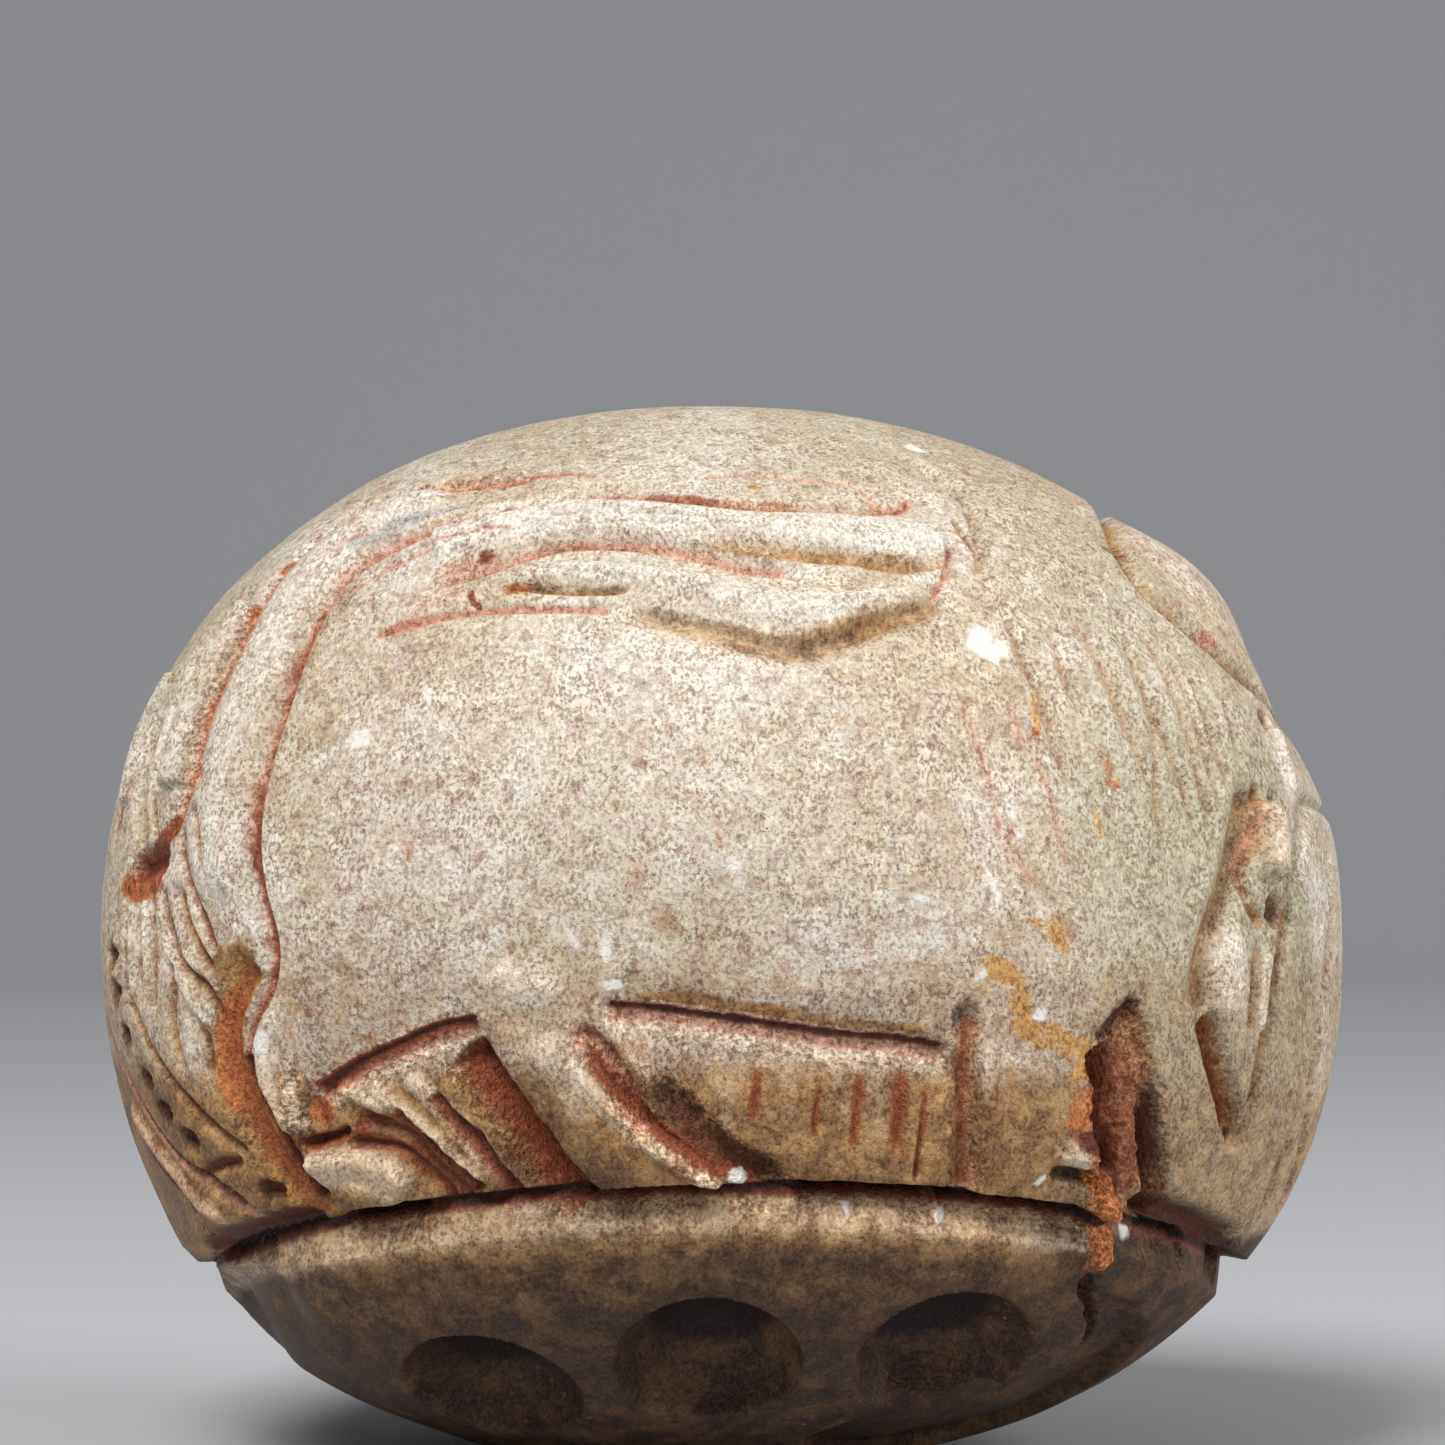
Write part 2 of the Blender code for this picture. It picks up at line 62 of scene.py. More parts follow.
def direction(azimuth, elevation):
    azimuth = np.radians(azimuth)
    elevation = np.radians(elevation)
    level = np.cos(elevation)
    return np.stack([np.sin(azimuth) * level, -np.cos(azimuth) * level, np.sin(elevation)], axis=-1)


def smooth_radius(directions):
    x, y, z = directions[..., 0], directions[..., 1], directions[..., 2]
    headward = eased(-0.5, 0.5, -x)
    upward = eased(-0.25, 0.25, z)
    fullness = KEEL_FULLNESS + (CROWN_FULLNESS - KEEL_FULLNESS) * upward + HEAD_FULLNESS * headward
    height = np.where(z > 0.0, HEIGHT - KEEL_DEPTH, KEEL_DEPTH)
    reach = np.abs(2.0 * x / LENGTH) ** fullness
    reach += np.abs(2.0 * y / WIDTH) ** fullness
    reach += np.abs(z / height) ** fullness
    return reach ** (-1.0 / fullness)


# The carver's tools
# Gravers, a drill and a rubbing stone, all worked by hand. Each tool mark lowers or raises the stone along
# a line, in a round pit or over a field, and leaves its tint there. A tint is a strength, or a strength and
# the share of the walls that it covers from the bottom up.
LINE_STEP = 0.08
STRETCH_STEPS = 16
FIELD_SKIP = 4
FAR_DRIFT = 2.0
WORN = 0.015
TINTS = ("stain", "rust", "orange", "ochre", "pink", "pale", "white", "grey", "brown", "umber", "khaki",
         "scratched", "crumbled")
CRUMBLED_DEPTH = 0.05
LATTICE_CELLS = 32
LATTICE = np.random.default_rng(11).uniform(-1.0, 1.0, 3 * (LATTICE_CELLS,))
EDGE_CHIPS = (0.3, 0.7)
FINE_CHIP = 0.22
COARSE_CHIP = 0.5
HAND_WAVES = ((4.5, 0.05), (1.5, 0.022))


def grit(points, size):
    """Smooth random bumps about as wide as the given size, from -1 to 1."""
    cell = np.floor(points / size).astype(int)
    share = points / size - cell
    share = share * share * (3.0 - 2.0 * share)
    total = np.zeros(len(points))
    for corner in itertools.product((0, 1), repeat=3):
        weight = np.prod(np.where(corner, share, 1.0 - share), axis=1)
        total += weight * LATTICE[tuple(((cell + corner) % LATTICE_CELLS).T)]
    return total


def rounded_line(marks, closed=False):
    """Points on the blank along a curve that runs smoothly through the marks."""
    knots = direction(*np.array(marks, float).T)
    if closed:
        knots = np.concatenate([knots[-1:], knots, knots[:2]])
    else:
        knots = np.concatenate([2 * knots[:1] - knots[1:2], knots, 2 * knots[-1:] - knots[-2:-1]])
    points = []
    for before, start, end, after in zip(knots, knots[1:], knots[2:], knots[3:]):
        steps = max(2, int(np.linalg.norm(end - start) * 0.5 * LENGTH / LINE_STEP))
        share = np.arange(steps)[:, None] / steps
        bend = (2 * before - 5 * start + 4 * end - after) * share ** 2
        bend += (3 * start - before - 3 * end + after) * share ** 3
        points.append(start + 0.5 * ((end - before) * share + bend))
    points = np.concatenate(points + [knots[-2:-1]])
    points /= np.linalg.norm(points, axis=1)[:, None]
    return points * smooth_radius(points)[:, None]


def run_out(line, nearest, ends):
    """A share that fades from 1 towards both ends of a line, over the given length."""
    along = np.minimum(nearest, len(line) - 1 - nearest) * LINE_STEP
    return eased(0.0, ends, along + 0.3 * ends)


class Carving:
    """Relief and tints for a cloud of directions, gathered tool mark by tool mark.

    The far side takes the near side's marks mirrored, with a slow drift, so it is like it but not the same.
    """

    def __init__(self, directions):
        self.far = directions[:, 1] > 0.0
        self.own = directions * smooth_radius(directions)[:, None]
        x, y, z = directions[:, 0], -np.abs(directions[:, 1]), directions[:, 2]
        drift = np.where(self.far, FAR_DRIFT * eased(0.0, 0.4, -y), 0.0)
        self.azimuth = np.degrees(np.arctan2(x, -y))
        self.elevation = np.degrees(np.arcsin(np.clip(z, -1.0, 1.0)))
        self.azimuth = self.azimuth + drift * np.sin(np.radians(4.0 * self.elevation))
        self.elevation = self.elevation + drift * np.sin(np.radians(3.0 * self.azimuth))
        near = direction(self.azimuth, self.elevation)
        self.points = near * smooth_radius(near)[:, None]
        self.cut, self.raised, self.level, self.broken = np.zeros((4, len(directions)))
        self.tints = {name: np.zeros(len(directions)) for name in TINTS}
        self.side = None

    def on_side(self, some, share):
        """The share, kept to the side that is being worked if it is only one, near or far."""
        if self.side is None:
            return share
        return np.where(self.far[some] == (self.side == "far"), share, 0.0)

    def reach(self, line, width):
        """Points within a width of the line: which ones, how far, on which side and how far along it."""
        low, high = line.min(axis=0) - width, line.max(axis=0) + width
        some = np.flatnonzero(np.all((self.points > low) & (self.points < high), axis=1))
        distance = np.full(len(some), np.inf)
        nearest = np.zeros(len(some), int)
        for first in range(0, len(line), STRETCH_STEPS):
            piece = line[first:first + STRETCH_STEPS]
            low, high = piece.min(axis=0) - width, piece.max(axis=0) + width
            close = np.flatnonzero(np.all((self.points[some] > low) & (self.points[some] < high), axis=1))
            gaps = np.linalg.norm(self.points[some[close], None] - piece[None], axis=2)
            best = gaps.argmin(axis=1)
            gap = gaps[np.arange(len(close)), best]
            better = gap < distance[close]
            distance[close[better]] = gap[better]
            nearest[close[better]] = first + best[better]
        kept = distance < width
        some, distance, nearest = some[kept], distance[kept], nearest[kept]
        ahead = np.gradient(line, axis=0)[nearest]
        across = np.cross(line[nearest], ahead)
        left = np.einsum("ij,ij->i", across, self.points[some] - line[nearest]) > 0.0
        return some, distance, left, nearest

    def paint(self, some, share, tints):
        for name, tint in tints.items():
            amount, cover = tint if isinstance(tint, tuple) else (tint, 1.0)
            covered = np.clip((share - 1.0 + cover) / (0.6 * cover), 0.0, 1.0)
            self.tints[name][some] = np.maximum(self.tints[name][some], amount * covered)

    def press(self, some, depth):
        """Cuts keep to the deeper one where they cross, and so do ridges."""
        self.cut[some] = np.maximum(self.cut[some], depth)
        self.raised[some] = np.maximum(self.raised[some], -depth)

    def roughen(self, some, amount):
        self.broken[some] = np.maximum(self.broken[some], amount)
        self.tints["crumbled"][some] = np.clip(self.broken[some] / CRUMBLED_DEPTH, 0.0, 1.0)

    def groove(self, marks, width, depth, lean=0.5, ends=0.4, soft=False, rough=0.0, **tints):
        """A V-shaped cut along the marks, or a rounded one if it is soft.

        The share of the width given by lean lies left of the line. The ends of the cut run out over the
        given length, and rough breaks up its edges and walls.
        """
        line = rounded_line(marks)
        some, distance, left, nearest = self.reach(line, width * max(lean, 1.0 - lean))
        wall = np.where(left, width * lean, width * (1.0 - lean))
        if rough:
            distance = distance + rough * sum(grit(self.own[some], size) for size in EDGE_CHIPS)
        share = np.clip(1.0 - distance / wall, 0.0, 1.0)
        if ends:
            share = share * run_out(line, nearest, ends)
        share = self.on_side(some, share)
        self.press(some, (eased(0.0, 1.0, share) if soft else share) * depth)
        self.roughen(some, rough * eased(0.0, 0.3, share))
        self.paint(some, share, tints)

    def hollow(self, marks, width, depth, **how):
        """A rounded groove."""
        self.groove(marks, width, depth, soft=True, **how)

    def ridge(self, marks, width, height, soft=True, **how):
        """A raised line, rounded unless it is said not to be soft."""
        self.groove(marks, width, -height, soft=soft, **how)

    def streak(self, marks, width, ends=0.6, **tints):
        """A tint along the marks, where the stone is bruised or worn by a hair's breadth."""
        line = rounded_line(marks)
        some, distance, _, nearest = self.reach(line, width / 2)
        share = self.on_side(some, (1.0 - 2.0 * distance / width) * run_out(line, nearest, ends))
        self.press(some, WORN * share)
        self.paint(some, np.clip(1.6 * share, 0.0, 1.0), tints)

    def around(self, mark, width):
        """Points within a round of the given width, and how far out they lie, with 1 at its edge."""
        centre = direction(*mark)
        distance = np.linalg.norm(self.points - centre * smooth_radius(centre), axis=1)
        some = np.flatnonzero(distance < 0.6 * width)
        return some, 2.0 * distance[some] / width

    def spot(self, mark, width, **tints):
        """A tint in an uneven round patch, worn by a hair's breadth."""
        some, outward = self.around(mark, width)
        share = self.on_side(some, np.clip(1.0 - outward + 0.3 * grit(self.own[some], 0.3), 0.0, 1.0))
        self.press(some, WORN * share)
        self.paint(some, np.clip(1.8 * share, 0.0, 1.0), tints)

    def drill(self, mark, width, depth, steep=1.0, **tints):
        """A round pit with a bowl-shaped floor, and with steeper walls for a smaller steep."""
        some, outward = self.around(mark, width)
        self.press(some, self.on_side(some, depth * np.clip(1.0 - outward ** 2, 0.0, 1.0) ** steep))
        self.paint(some, self.on_side(some, np.clip(1.0 - outward / 1.2, 0.0, 1.0)), tints)

    def field(self, marks, height, edge, rough=0.0, **tints):
        """A raised area inside a closed line, or a sunk one, with a sloping edge of the given width."""
        outline = rounded_line(marks, closed=True)[::FIELD_SKIP]
        middle = outline.mean(axis=0) / np.linalg.norm(outline.mean(axis=0))
        aside = np.cross(middle, [0.0, 0.0, 1.0])
        aside /= np.linalg.norm(aside)
        chart = np.stack([aside, np.cross(middle, aside)], axis=1)
        corners = outline @ chart
        low, high = corners.min(axis=0), corners.max(axis=0)
        spots = self.points @ chart
        inside = np.all((spots > low) & (spots < high), axis=1) & (self.points @ middle > 0.0)
        some = np.flatnonzero(inside)
        spots = spots[some]
        crossings = np.zeros(len(some), int)
        distance = np.full(len(some), np.inf)
        for (x0, y0), (x1, y1) in zip(corners, np.roll(corners, -1, axis=0)):
            spans = (y0 > spots[:, 1]) != (y1 > spots[:, 1])
            if y1 != y0:
                crossings += spans & (spots[:, 0] < (x1 - x0) * (spots[:, 1] - y0) / (y1 - y0) + x0)
            run = np.array([x1 - x0, y1 - y0])
            share = np.clip((spots - [x0, y0]) @ run / max(run @ run, 1e-9), 0.0, 1.0)
            distance = np.minimum(distance, np.linalg.norm(spots - [x0, y0] - share[:, None] * run, axis=1))
        share = self.on_side(some, np.where(crossings % 2 == 1, eased(0.0, edge, distance), 0.0))
        self.level[some] += share * height
        self.roughen(some, rough * share)
        self.paint(some, share, tints)

    def height(self):
        """Relief of the tool marks, with broken stone where it is rough and the unevenness of hand work."""
        chips = grit(self.own, FINE_CHIP) + 0.8 * grit(self.own, COARSE_CHIP)
        uneven = sum(depth * grit(self.own, size) for size, depth in HAND_WAVES)
        return self.level + self.raised - self.cut + self.broken * chips + uneven


# The waist
# A deep groove sawn round the bead parts the animal from the pad that it lies on. Its upper wall is steep,
# and its lower wall is a wide bevel with fine scratches along it. Rust and soil have stayed in the bottom,
# and at both ends the groove is darkened further with painted shade.
WAIST_LEVEL = -23.6
WAIST_DROP = 8.4
WAIST_WIDTH = 1.4
WAIST_DEPTH = 0.9


def waist(azimuth):
    return WAIST_LEVEL - WAIST_DROP * abs(math.sin(math.radians(azimuth))) ** 5


def carve_waist(stone):
    ring = [(azimuth, waist(azimuth)) for azimuth in range(-90, 91, 10)]
    stone.groove(ring, WAIST_WIDTH, 0.8 * WAIST_DEPTH, lean=0.2, ends=0, stain=(0.9, 0.4), rust=(0.6, 0.5),
        pink=(0.7, 0.45))
    # Darker stretches hold more stain and rust; those at both ends are painted shade as well.
    for start, end in ((-68, -53), (-43, -33), (-13, -2), (8, 24), (24, 42), (49, 60), (66, 74)):
        stretch = [(azimuth, waist(azimuth)) for azimuth in np.linspace(start, end, 5)]
        stone.groove(stretch, WAIST_WIDTH, 1.5 * WAIST_DEPTH, lean=0.2, rough=0.02, stain=(1.0, 0.55),
            rust=(0.8, 0.55), pink=(0.8, 0.65))
    for below, width in ((1.7, 0.35), (2.6, 0.3), (3.4, 0.3)):
        stone.groove([(azimuth, waist(azimuth) - below) for azimuth in range(-88, 45, 11)], width, 0.04,
            ends=2, pale=0.6, scratched=0.6)
    stone.streak([(azimuth, waist(azimuth) - 2.2) for azimuth in range(-90, 41, 10)], 1.9, pale=0.4,
        scratched=0.4)
    stone.hollow([(-90, -14), (-76, -18), (-60, -24)], 12.0, 0.4, ends=4)
    stone.hollow([(-90, -37), (-70, -34), (-52, -31)], 6.0, 0.9, ends=4)
    # The hollows at both ends are darkened with stain and umber, partly soil and partly painted shade under
    # the overhang.
    stone.hollow([(-66, -28.5), (-58, -27), (-50, -25.5), (-43, -24.5)], 1.5, 0.9, lean=0.65, ends=1.5,
        stain=(0.8, 0.75), umber=1.0)
    stone.hollow([(47, -24), (56, -26), (66, -28.5)], 1.6, 0.9, lean=0.65, ends=1.5, stain=(0.6, 0.6),
        umber=1.0)


# The folded legs
# Below the flank two panels are sunk under steep cuts, and a hind leg slants between them. The left panel
# has a rounded paw with slanting cuts over it, and the right one shallow upright strokes rubbed with red.
LEFT_CUT = [(-43, -12), (-40.5, -10.8), (-37.5, -9.3), (-34.5, -8), (-31.5, -6.8), (-28.5, -5.7),
    (-25, -5.2)]
RIGHT_CUT = [(-12.5, -3.8), (-7, -4.3), (-2, -5), (5, -6), (13.5, -7.1), (18.5, -7.4), (24, -8.3)]


def carve_legs(stone):
    stone.field([(-44, -12), (-37, -9.5), (-31, -7), (-24, -5.5), (-21, -13), (-14, -24), (-28, -25),
        (-43, -25), (-45, -18)], -0.3, 0.5)
    stone.field([(-12, -4), (-2, -5), (8, -6.5), (25, -8.5), (27, -24), (4, -24), (-3, -17), (-9, -11)],
        -0.3, 0.5)
    stone.hollow([(-50, -13), (-30, -6), (-12, -2), (8, -4.5), (27, -7), (34, -7)], 9.0, 0.3, ends=4)
    for cut in (LEFT_CUT, RIGHT_CUT):
        stone.hollow(cut, 3.0, 0.45, lean=0.82, ends=1.0)
        stone.groove(cut, 1.5, 0.65, lean=0.14, rough=0.03, stain=(0.8, 0.25), pink=(1.4, 0.58), pale=0.9)
    stone.groove(LEFT_CUT, 1.2, 0.62, lean=0.2, rough=0.03, rust=(1.0, 0.6), stain=(0.7, 0.3))
    # The brown streak just above the right cut is painted shade where the flank turns under, with a little
    # rust.
    stone.streak([(-9, -3.6), (0, -4.6), (12, -6.7), (22, -7.5)], 0.9, ends=2, brown=1.0, rust=0.3)
    stone.streak([(-41.5, -10), (-35, -7.2), (-27, -4.6)], 0.7, ends=2, orange=0.3)
    # The pale on this knee ridge is a painted highlight where it faces the light.
    stone.ridge([(-25, -1.5), (-21, -2.2), (-16, -3)], 2.0, 0.25, ends=1.5, pale=0.8)
    stone.drill((-8, -3.6), 0.5, 0.3, stain=(0.6, 0.8))

    # The hind leg between two deep cuts, the second with a lit lip and a brown trough beyond it
    # The trough's brown and umber are partly soil and partly painted shade
    stone.groove([(-26, -7.5), (-23.5, -10.5), (-21, -14), (-18.7, -17.3), (-16.5, -20.5), (-13.5, -24)],
        2.0, 1.0, lean=0.18, rough=0.05, stain=(0.6, 0.3), rust=1.0, orange=0.35)
    stone.streak([(-25.5, -8.5), (-22.7, -13), (-19.7, -17.5), (-16.2, -22.5)], 0.8, orange=0.45)
    stone.groove([(-15, -6), (-12.8, -7.5), (-11.2, -9.5), (-9.7, -12), (-8.5, -14.5), (-7, -17)], 1.1,
        0.65, lean=0.2, rough=0.04, stain=(0.3, 0.2), rust=(0.3, 0.3), pink=1.0, brown=0.6)
    stone.groove([(-14, -8.5), (-11.7, -11.7), (-9.5, -14.3), (-7, -16.7), (-4, -18.9), (-1.5, -20.7),
        (1.5, -22), (4, -23.7)], 0.7, 0.45, lean=0.4, rough=0.02, rust=(1.0, 0.9), stain=(0.5, 0.3))
    stone.ridge([(-16, -9.5), (-13.4, -12.7), (-10.8, -15.3), (-8.4, -17.8), (-5.4, -19.9), (-2.6, -21.9),
        (0, -23)], 0.65, 0.35, pale=1.0)
    stone.hollow([(-7.5, -11.5), (-5, -14.5), (-2, -17.5), (1.5, -20.3), (5, -22), (8, -23.6)], 2.1, 0.6,
        lean=0.3, ends=2, rough=0.05, brown=1.0, umber=(0.75, 0.9), rust=(0.45, 0.5), stain=(0.4, 0.4))
    stone.ridge([(-20, -7), (-16.5, -12), (-12.5, -18), (-8, -22)], 3.0, 0.35, ends=2)
    stone.streak([(-19, -7), (-16.5, -11), (-13.5, -15.5)], 1.0, pale=0.5)
    stone.streak([(-13.5, -13.5), (-10.5, -17), (-7.5, -20.5)], 1.2, ochre=0.4)
    stone.spot((-4.5, -20.5), 1.4, rust=0.6)

    # The paw under its slit, and the slanting cuts above it
    stone.ridge([(-44.5, -19), (-41.5, -18.8), (-38, -18.8), (-35.5, -19.8), (-33.3, -21.8)], 1.6, 0.45,
        lean=0.3, pale=1.0)
    stone.ridge([(-42, -22), (-38, -21.7), (-34.5, -23)], 1.8, 0.3, brown=0.8)
    stone.groove([(-44.8, -17), (-43, -16.8), (-41, -16.4), (-39.3, -15.8)], 0.7, 0.6, lean=0.3, rough=0.02,
        stain=(0.8, 0.6), rust=1.0)
    stone.groove([(-39.3, -15.9), (-37.8, -15.3), (-36.3, -15.2)], 0.5, 0.35, lean=0.3, rust=1.0,
        stain=(0.5, 0.5))
    stone.groove([(-40, -17.3), (-37, -17.7), (-34.5, -18.3), (-32.5, -20), (-30.3, -22.3), (-29.5, -24.5)],
        0.9, 0.5, lean=0.7, stain=(0.7, 0.4), rust=(0.9, 0.8))
    stone.spot((-42.3, -14.2), 0.9, orange=0.8)
    stone.groove([(-43, -12.8), (-42, -14), (-41.3, -15.7)], 0.6, 0.3, rust=0.9, stain=(0.4, 0.3))
    stone.hollow([(-38.7, -14.2), (-35.7, -15.5), (-32.8, -17.3), (-31, -20), (-29, -22), (-27.5, -24.3)],
        1.1, 0.5, lean=0.4, rust=(0.8, 0.6), brown=(0.9, 0.8), stain=(0.6, 0.3))
    stone.groove([(-34, -13.8), (-32.3, -16), (-30, -18.2), (-28, -20.2), (-26, -22.7)], 0.8, 0.6, lean=0.3,
        rough=0.03, stain=(0.75, 0.5), rust=1.0)
    stone.groove([(-30, -12.5), (-28, -15), (-25.8, -17.5), (-24, -20.2), (-22, -23.7)], 0.8, 0.55,
        lean=0.3, rough=0.03, stain=(0.7, 0.45), rust=1.0)
    stone.groove([(-36, -12.3), (-34.5, -13.5), (-33, -14.8)], 0.4, 0.2, brown=1.0)
    for ridge, width in (([(-33, -10.8), (-30.2, -13.2), (-27.5, -16.2), (-25, -19.5), (-23, -22.5)], 1.0),
            ([(-37.5, -11.5), (-33.5, -14.3), (-30.5, -17), (-27.7, -20), (-26, -22.5)], 0.8),
            ([(-41, -12), (-38, -12.8), (-35, -14.2)], 0.8)):
        stone.ridge(ridge, width, 0.25, pale=(0.95, 0.9))

    # Upright strokes on the right panel, and the wide groove at its end
    for azimuth, top, foot, width in ((3.5, -10.3, -17, 0.6), (10, -12, -18.5, 0.4),
            (14.3, -10.7, -19.5, 0.6), (18.8, -10.5, -20, 0.9), (21.3, -12, -23, 0.35)):
        stone.hollow([(azimuth + 0.3, top), (azimuth, 0.5 * (top + foot)), (azimuth - 0.2, foot)], width,
            0.2, rough=0.02, ends=1.0, rust=(0.9, 0.9), stain=(0.3, 0.4), brown=1.0)
    for azimuth in (0.5, 6.8, 12.2, 16.5):
        stone.streak([(azimuth, -9.5), (azimuth, -18)], 0.8, ends=2, pale=0.45)
    stone.hollow([(25.3, -5), (25.2, -9.5), (25.5, -13.5), (26, -17.5), (26.7, -23)], 1.2, 0.38, rough=0.03,
        rust=(0.7, 0.5), pink=(0.5, 0.8), brown=1.0)
    stone.spot((25, -5.2), 1.3, umber=0.75)
    stone.ridge([(27.3, -7.5), (27.4, -10.5), (27.2, -14)], 0.6, 0.1, ends=1.2, pale=0.6)


# The mane
# A broad raised band falls from the crown to the waist behind the head, between two cut lines. The lines
# are pink where the stone is bruised and orange with rust, which pools low down.


def carve_mane(stone):
    flank_line = [(-12, 54), (-21, 53), (-27, 50.5), (-34, 48), (-40, 46), (-45, 43.5), (-49.5, 39.5),
        (-51, 35.5), (-50.8, 30), (-50, 24), (-50, 18), (-49.8, 12.5), (-48.3, 6.5), (-46.3, 1.5),
        (-46.5, -2.5), (-48.7, -6.5), (-49.5, -10)]
    head_line = [(-33.5, 55), (-40, 53.5), (-48.5, 51.5), (-56, 49), (-61.5, 46), (-64, 42), (-63.5, 37),
        (-61.7, 32), (-60.7, 27), (-61, 22), (-60.2, 17), (-61.5, 12.5), (-63, 10)]
    stone.groove(flank_line, 0.9, 0.4, lean=0.35, pink=(0.95, 0.6))
    stone.streak(flank_line, 0.36, rust=0.8)
    stone.streak([(-36, 47), (-43.5, 44.5), (-49.5, 39.5), (-51.5, 36)], 0.9, pink=0.9)
    stone.streak([(-51.5, 34), (-50.9, 29), (-50.2, 24), (-50, 21)], 0.35, rust=1.0)
    # The brown and ochre beside the flank line are painted shade on the wall of its groove.
    stone.streak([(-48.8, 36), (-49.5, 31), (-49, 25)], 0.9, brown=0.5, ochre=0.3)
    stone.streak([(-46, 38), (-45.5, 28), (-45, 18), (-43, 8)], 5.0, ends=3, ochre=0.3, khaki=0.4)
    stone.streak([(-50, 14), (-49.5, 10), (-48.3, 6.5), (-46.5, 2), (-46.5, -2)], 0.4, rust=1.0, stain=0.45)
    stone.groove(head_line, 1.0, 0.4, rough=0.03, ends=2, pink=(1.0, 0.85), orange=(0.4, 0.6))
    stone.streak(head_line[3:], 0.45, rust=0.45, orange=0.7)
    stone.streak([(-22, 56)] + head_line[:4], 0.5, ends=3, orange=0.45, pink=0.7)
    stone.streak([(-61, 37), (-59.5, 31), (-59, 25), (-59.3, 19), (-59.5, 14)], 0.9, pink=0.9, orange=0.3)
    stone.streak([(-34, 54.5), (-42, 53.3), (-52, 50.5), (-58, 48)], 1.6, ends=3, ochre=0.35)
    for patch, width in (([(-60, 46.5), (-64, 43.5)], 0.8), ([(-65, 40), (-63.5, 37)], 0.9),
            ([(-62.5, 34), (-60.5, 31)], 1.0), ([(-60, 41), (-61, 40)], 0.7),
            ([(-60.6, 27), (-61, 21)], 0.8), ([(-57, 47.3), (-53, 48.7)], 0.6)):
        stone.streak(patch, width, orange=0.7, rust=0.4)
    stone.streak([(-58, 44), (-53, 44)], 0.9, orange=0.4)
    stone.groove([(-60.3, 18.5), (-58.5, 17), (-57, 14.8)], 0.5, 0.25, rust=(0.9, 0.8), stain=(0.4, 0.4))
    stone.streak([(-53, 40.5), (-48.5, 44), (-44.5, 47), (-39.5, 49.7)], 0.45, grey=0.7)
    stone.streak([(-50, 44), (-46, 46.5)], 0.4, grey=0.8)
    stone.ridge([(-44, 50), (-54, 45), (-57, 37), (-56, 28), (-55.5, 19), (-54, 11), (-51, 5)], 3.6, 0.42,
        ends=2, pale=(0.75, 0.8))
    for line in ([(-49, 45), (-54.5, 40), (-55.5, 32)], [(-52, 43), (-57, 38), (-57.5, 31), (-56.5, 24)],
            [(-53.5, 20), (-53, 13), (-50.5, 6)], [(-56, 18), (-55.5, 11), (-53, 4.5)]):
        stone.groove(line, 0.35, 0.05, ends=1.5, pink=0.5, grey=0.35)

    # The channel that it ends in, orange above and brown with rust below, with a sharp right edge
    stone.hollow([(-48.5, 0), (-50, -2.5), (-51.2, -5.5), (-51.4, -9), (-50, -12.5), (-48.2, -16.5),
        (-46.8, -19.5), (-45.5, -22), (-44, -24.5)], 1.9, 0.5, lean=0.45, rough=0.02, rust=(0.75, 0.6),
        ochre=0.6, brown=1.0)
    stone.streak([(-50.5, -3), (-51.8, -6.5), (-51.8, -10.5), (-50.3, -14)], 1.1, orange=0.9)
    stone.streak([(-50, -13), (-48.2, -17), (-46, -21)], 0.9, rust=0.9, orange=0.3)
    stone.groove([(-50, -8.5), (-49, -12), (-47.3, -15), (-46.2, -18), (-45.2, -20.5), (-44.3, -23)], 0.9,
        0.8, lean=0.7, rough=0.03, stain=(0.8, 0.6), rust=1.0)
    stone.streak([(-53.5, -0.5), (-51, -0.5), (-48.5, 0.5)], 1.5, brown=1.0, umber=0.4)
    stone.ridge([(-46, -4.5), (-47.3, -9), (-46.5, -13), (-45, -16)], 0.9, 0.2, pale=0.8)
    stone.ridge([(-44.5, -9), (-44.8, -12.5), (-44.2, -16)], 0.7, 0.2, soft=False, rough=0.08, pale=0.9)


# The head
# Brow ridges run down to a drilled eye, with a fan of hair lines under it. A row of drilled dots follows
# the muzzle over two curved lip lines. The dots and the eye keep their rust.
EYE_WIDTH = 1.3
EYE_DEPTH = 0.7
DOT_WIDTH = 0.75
DOT_DEPTH = 0.4


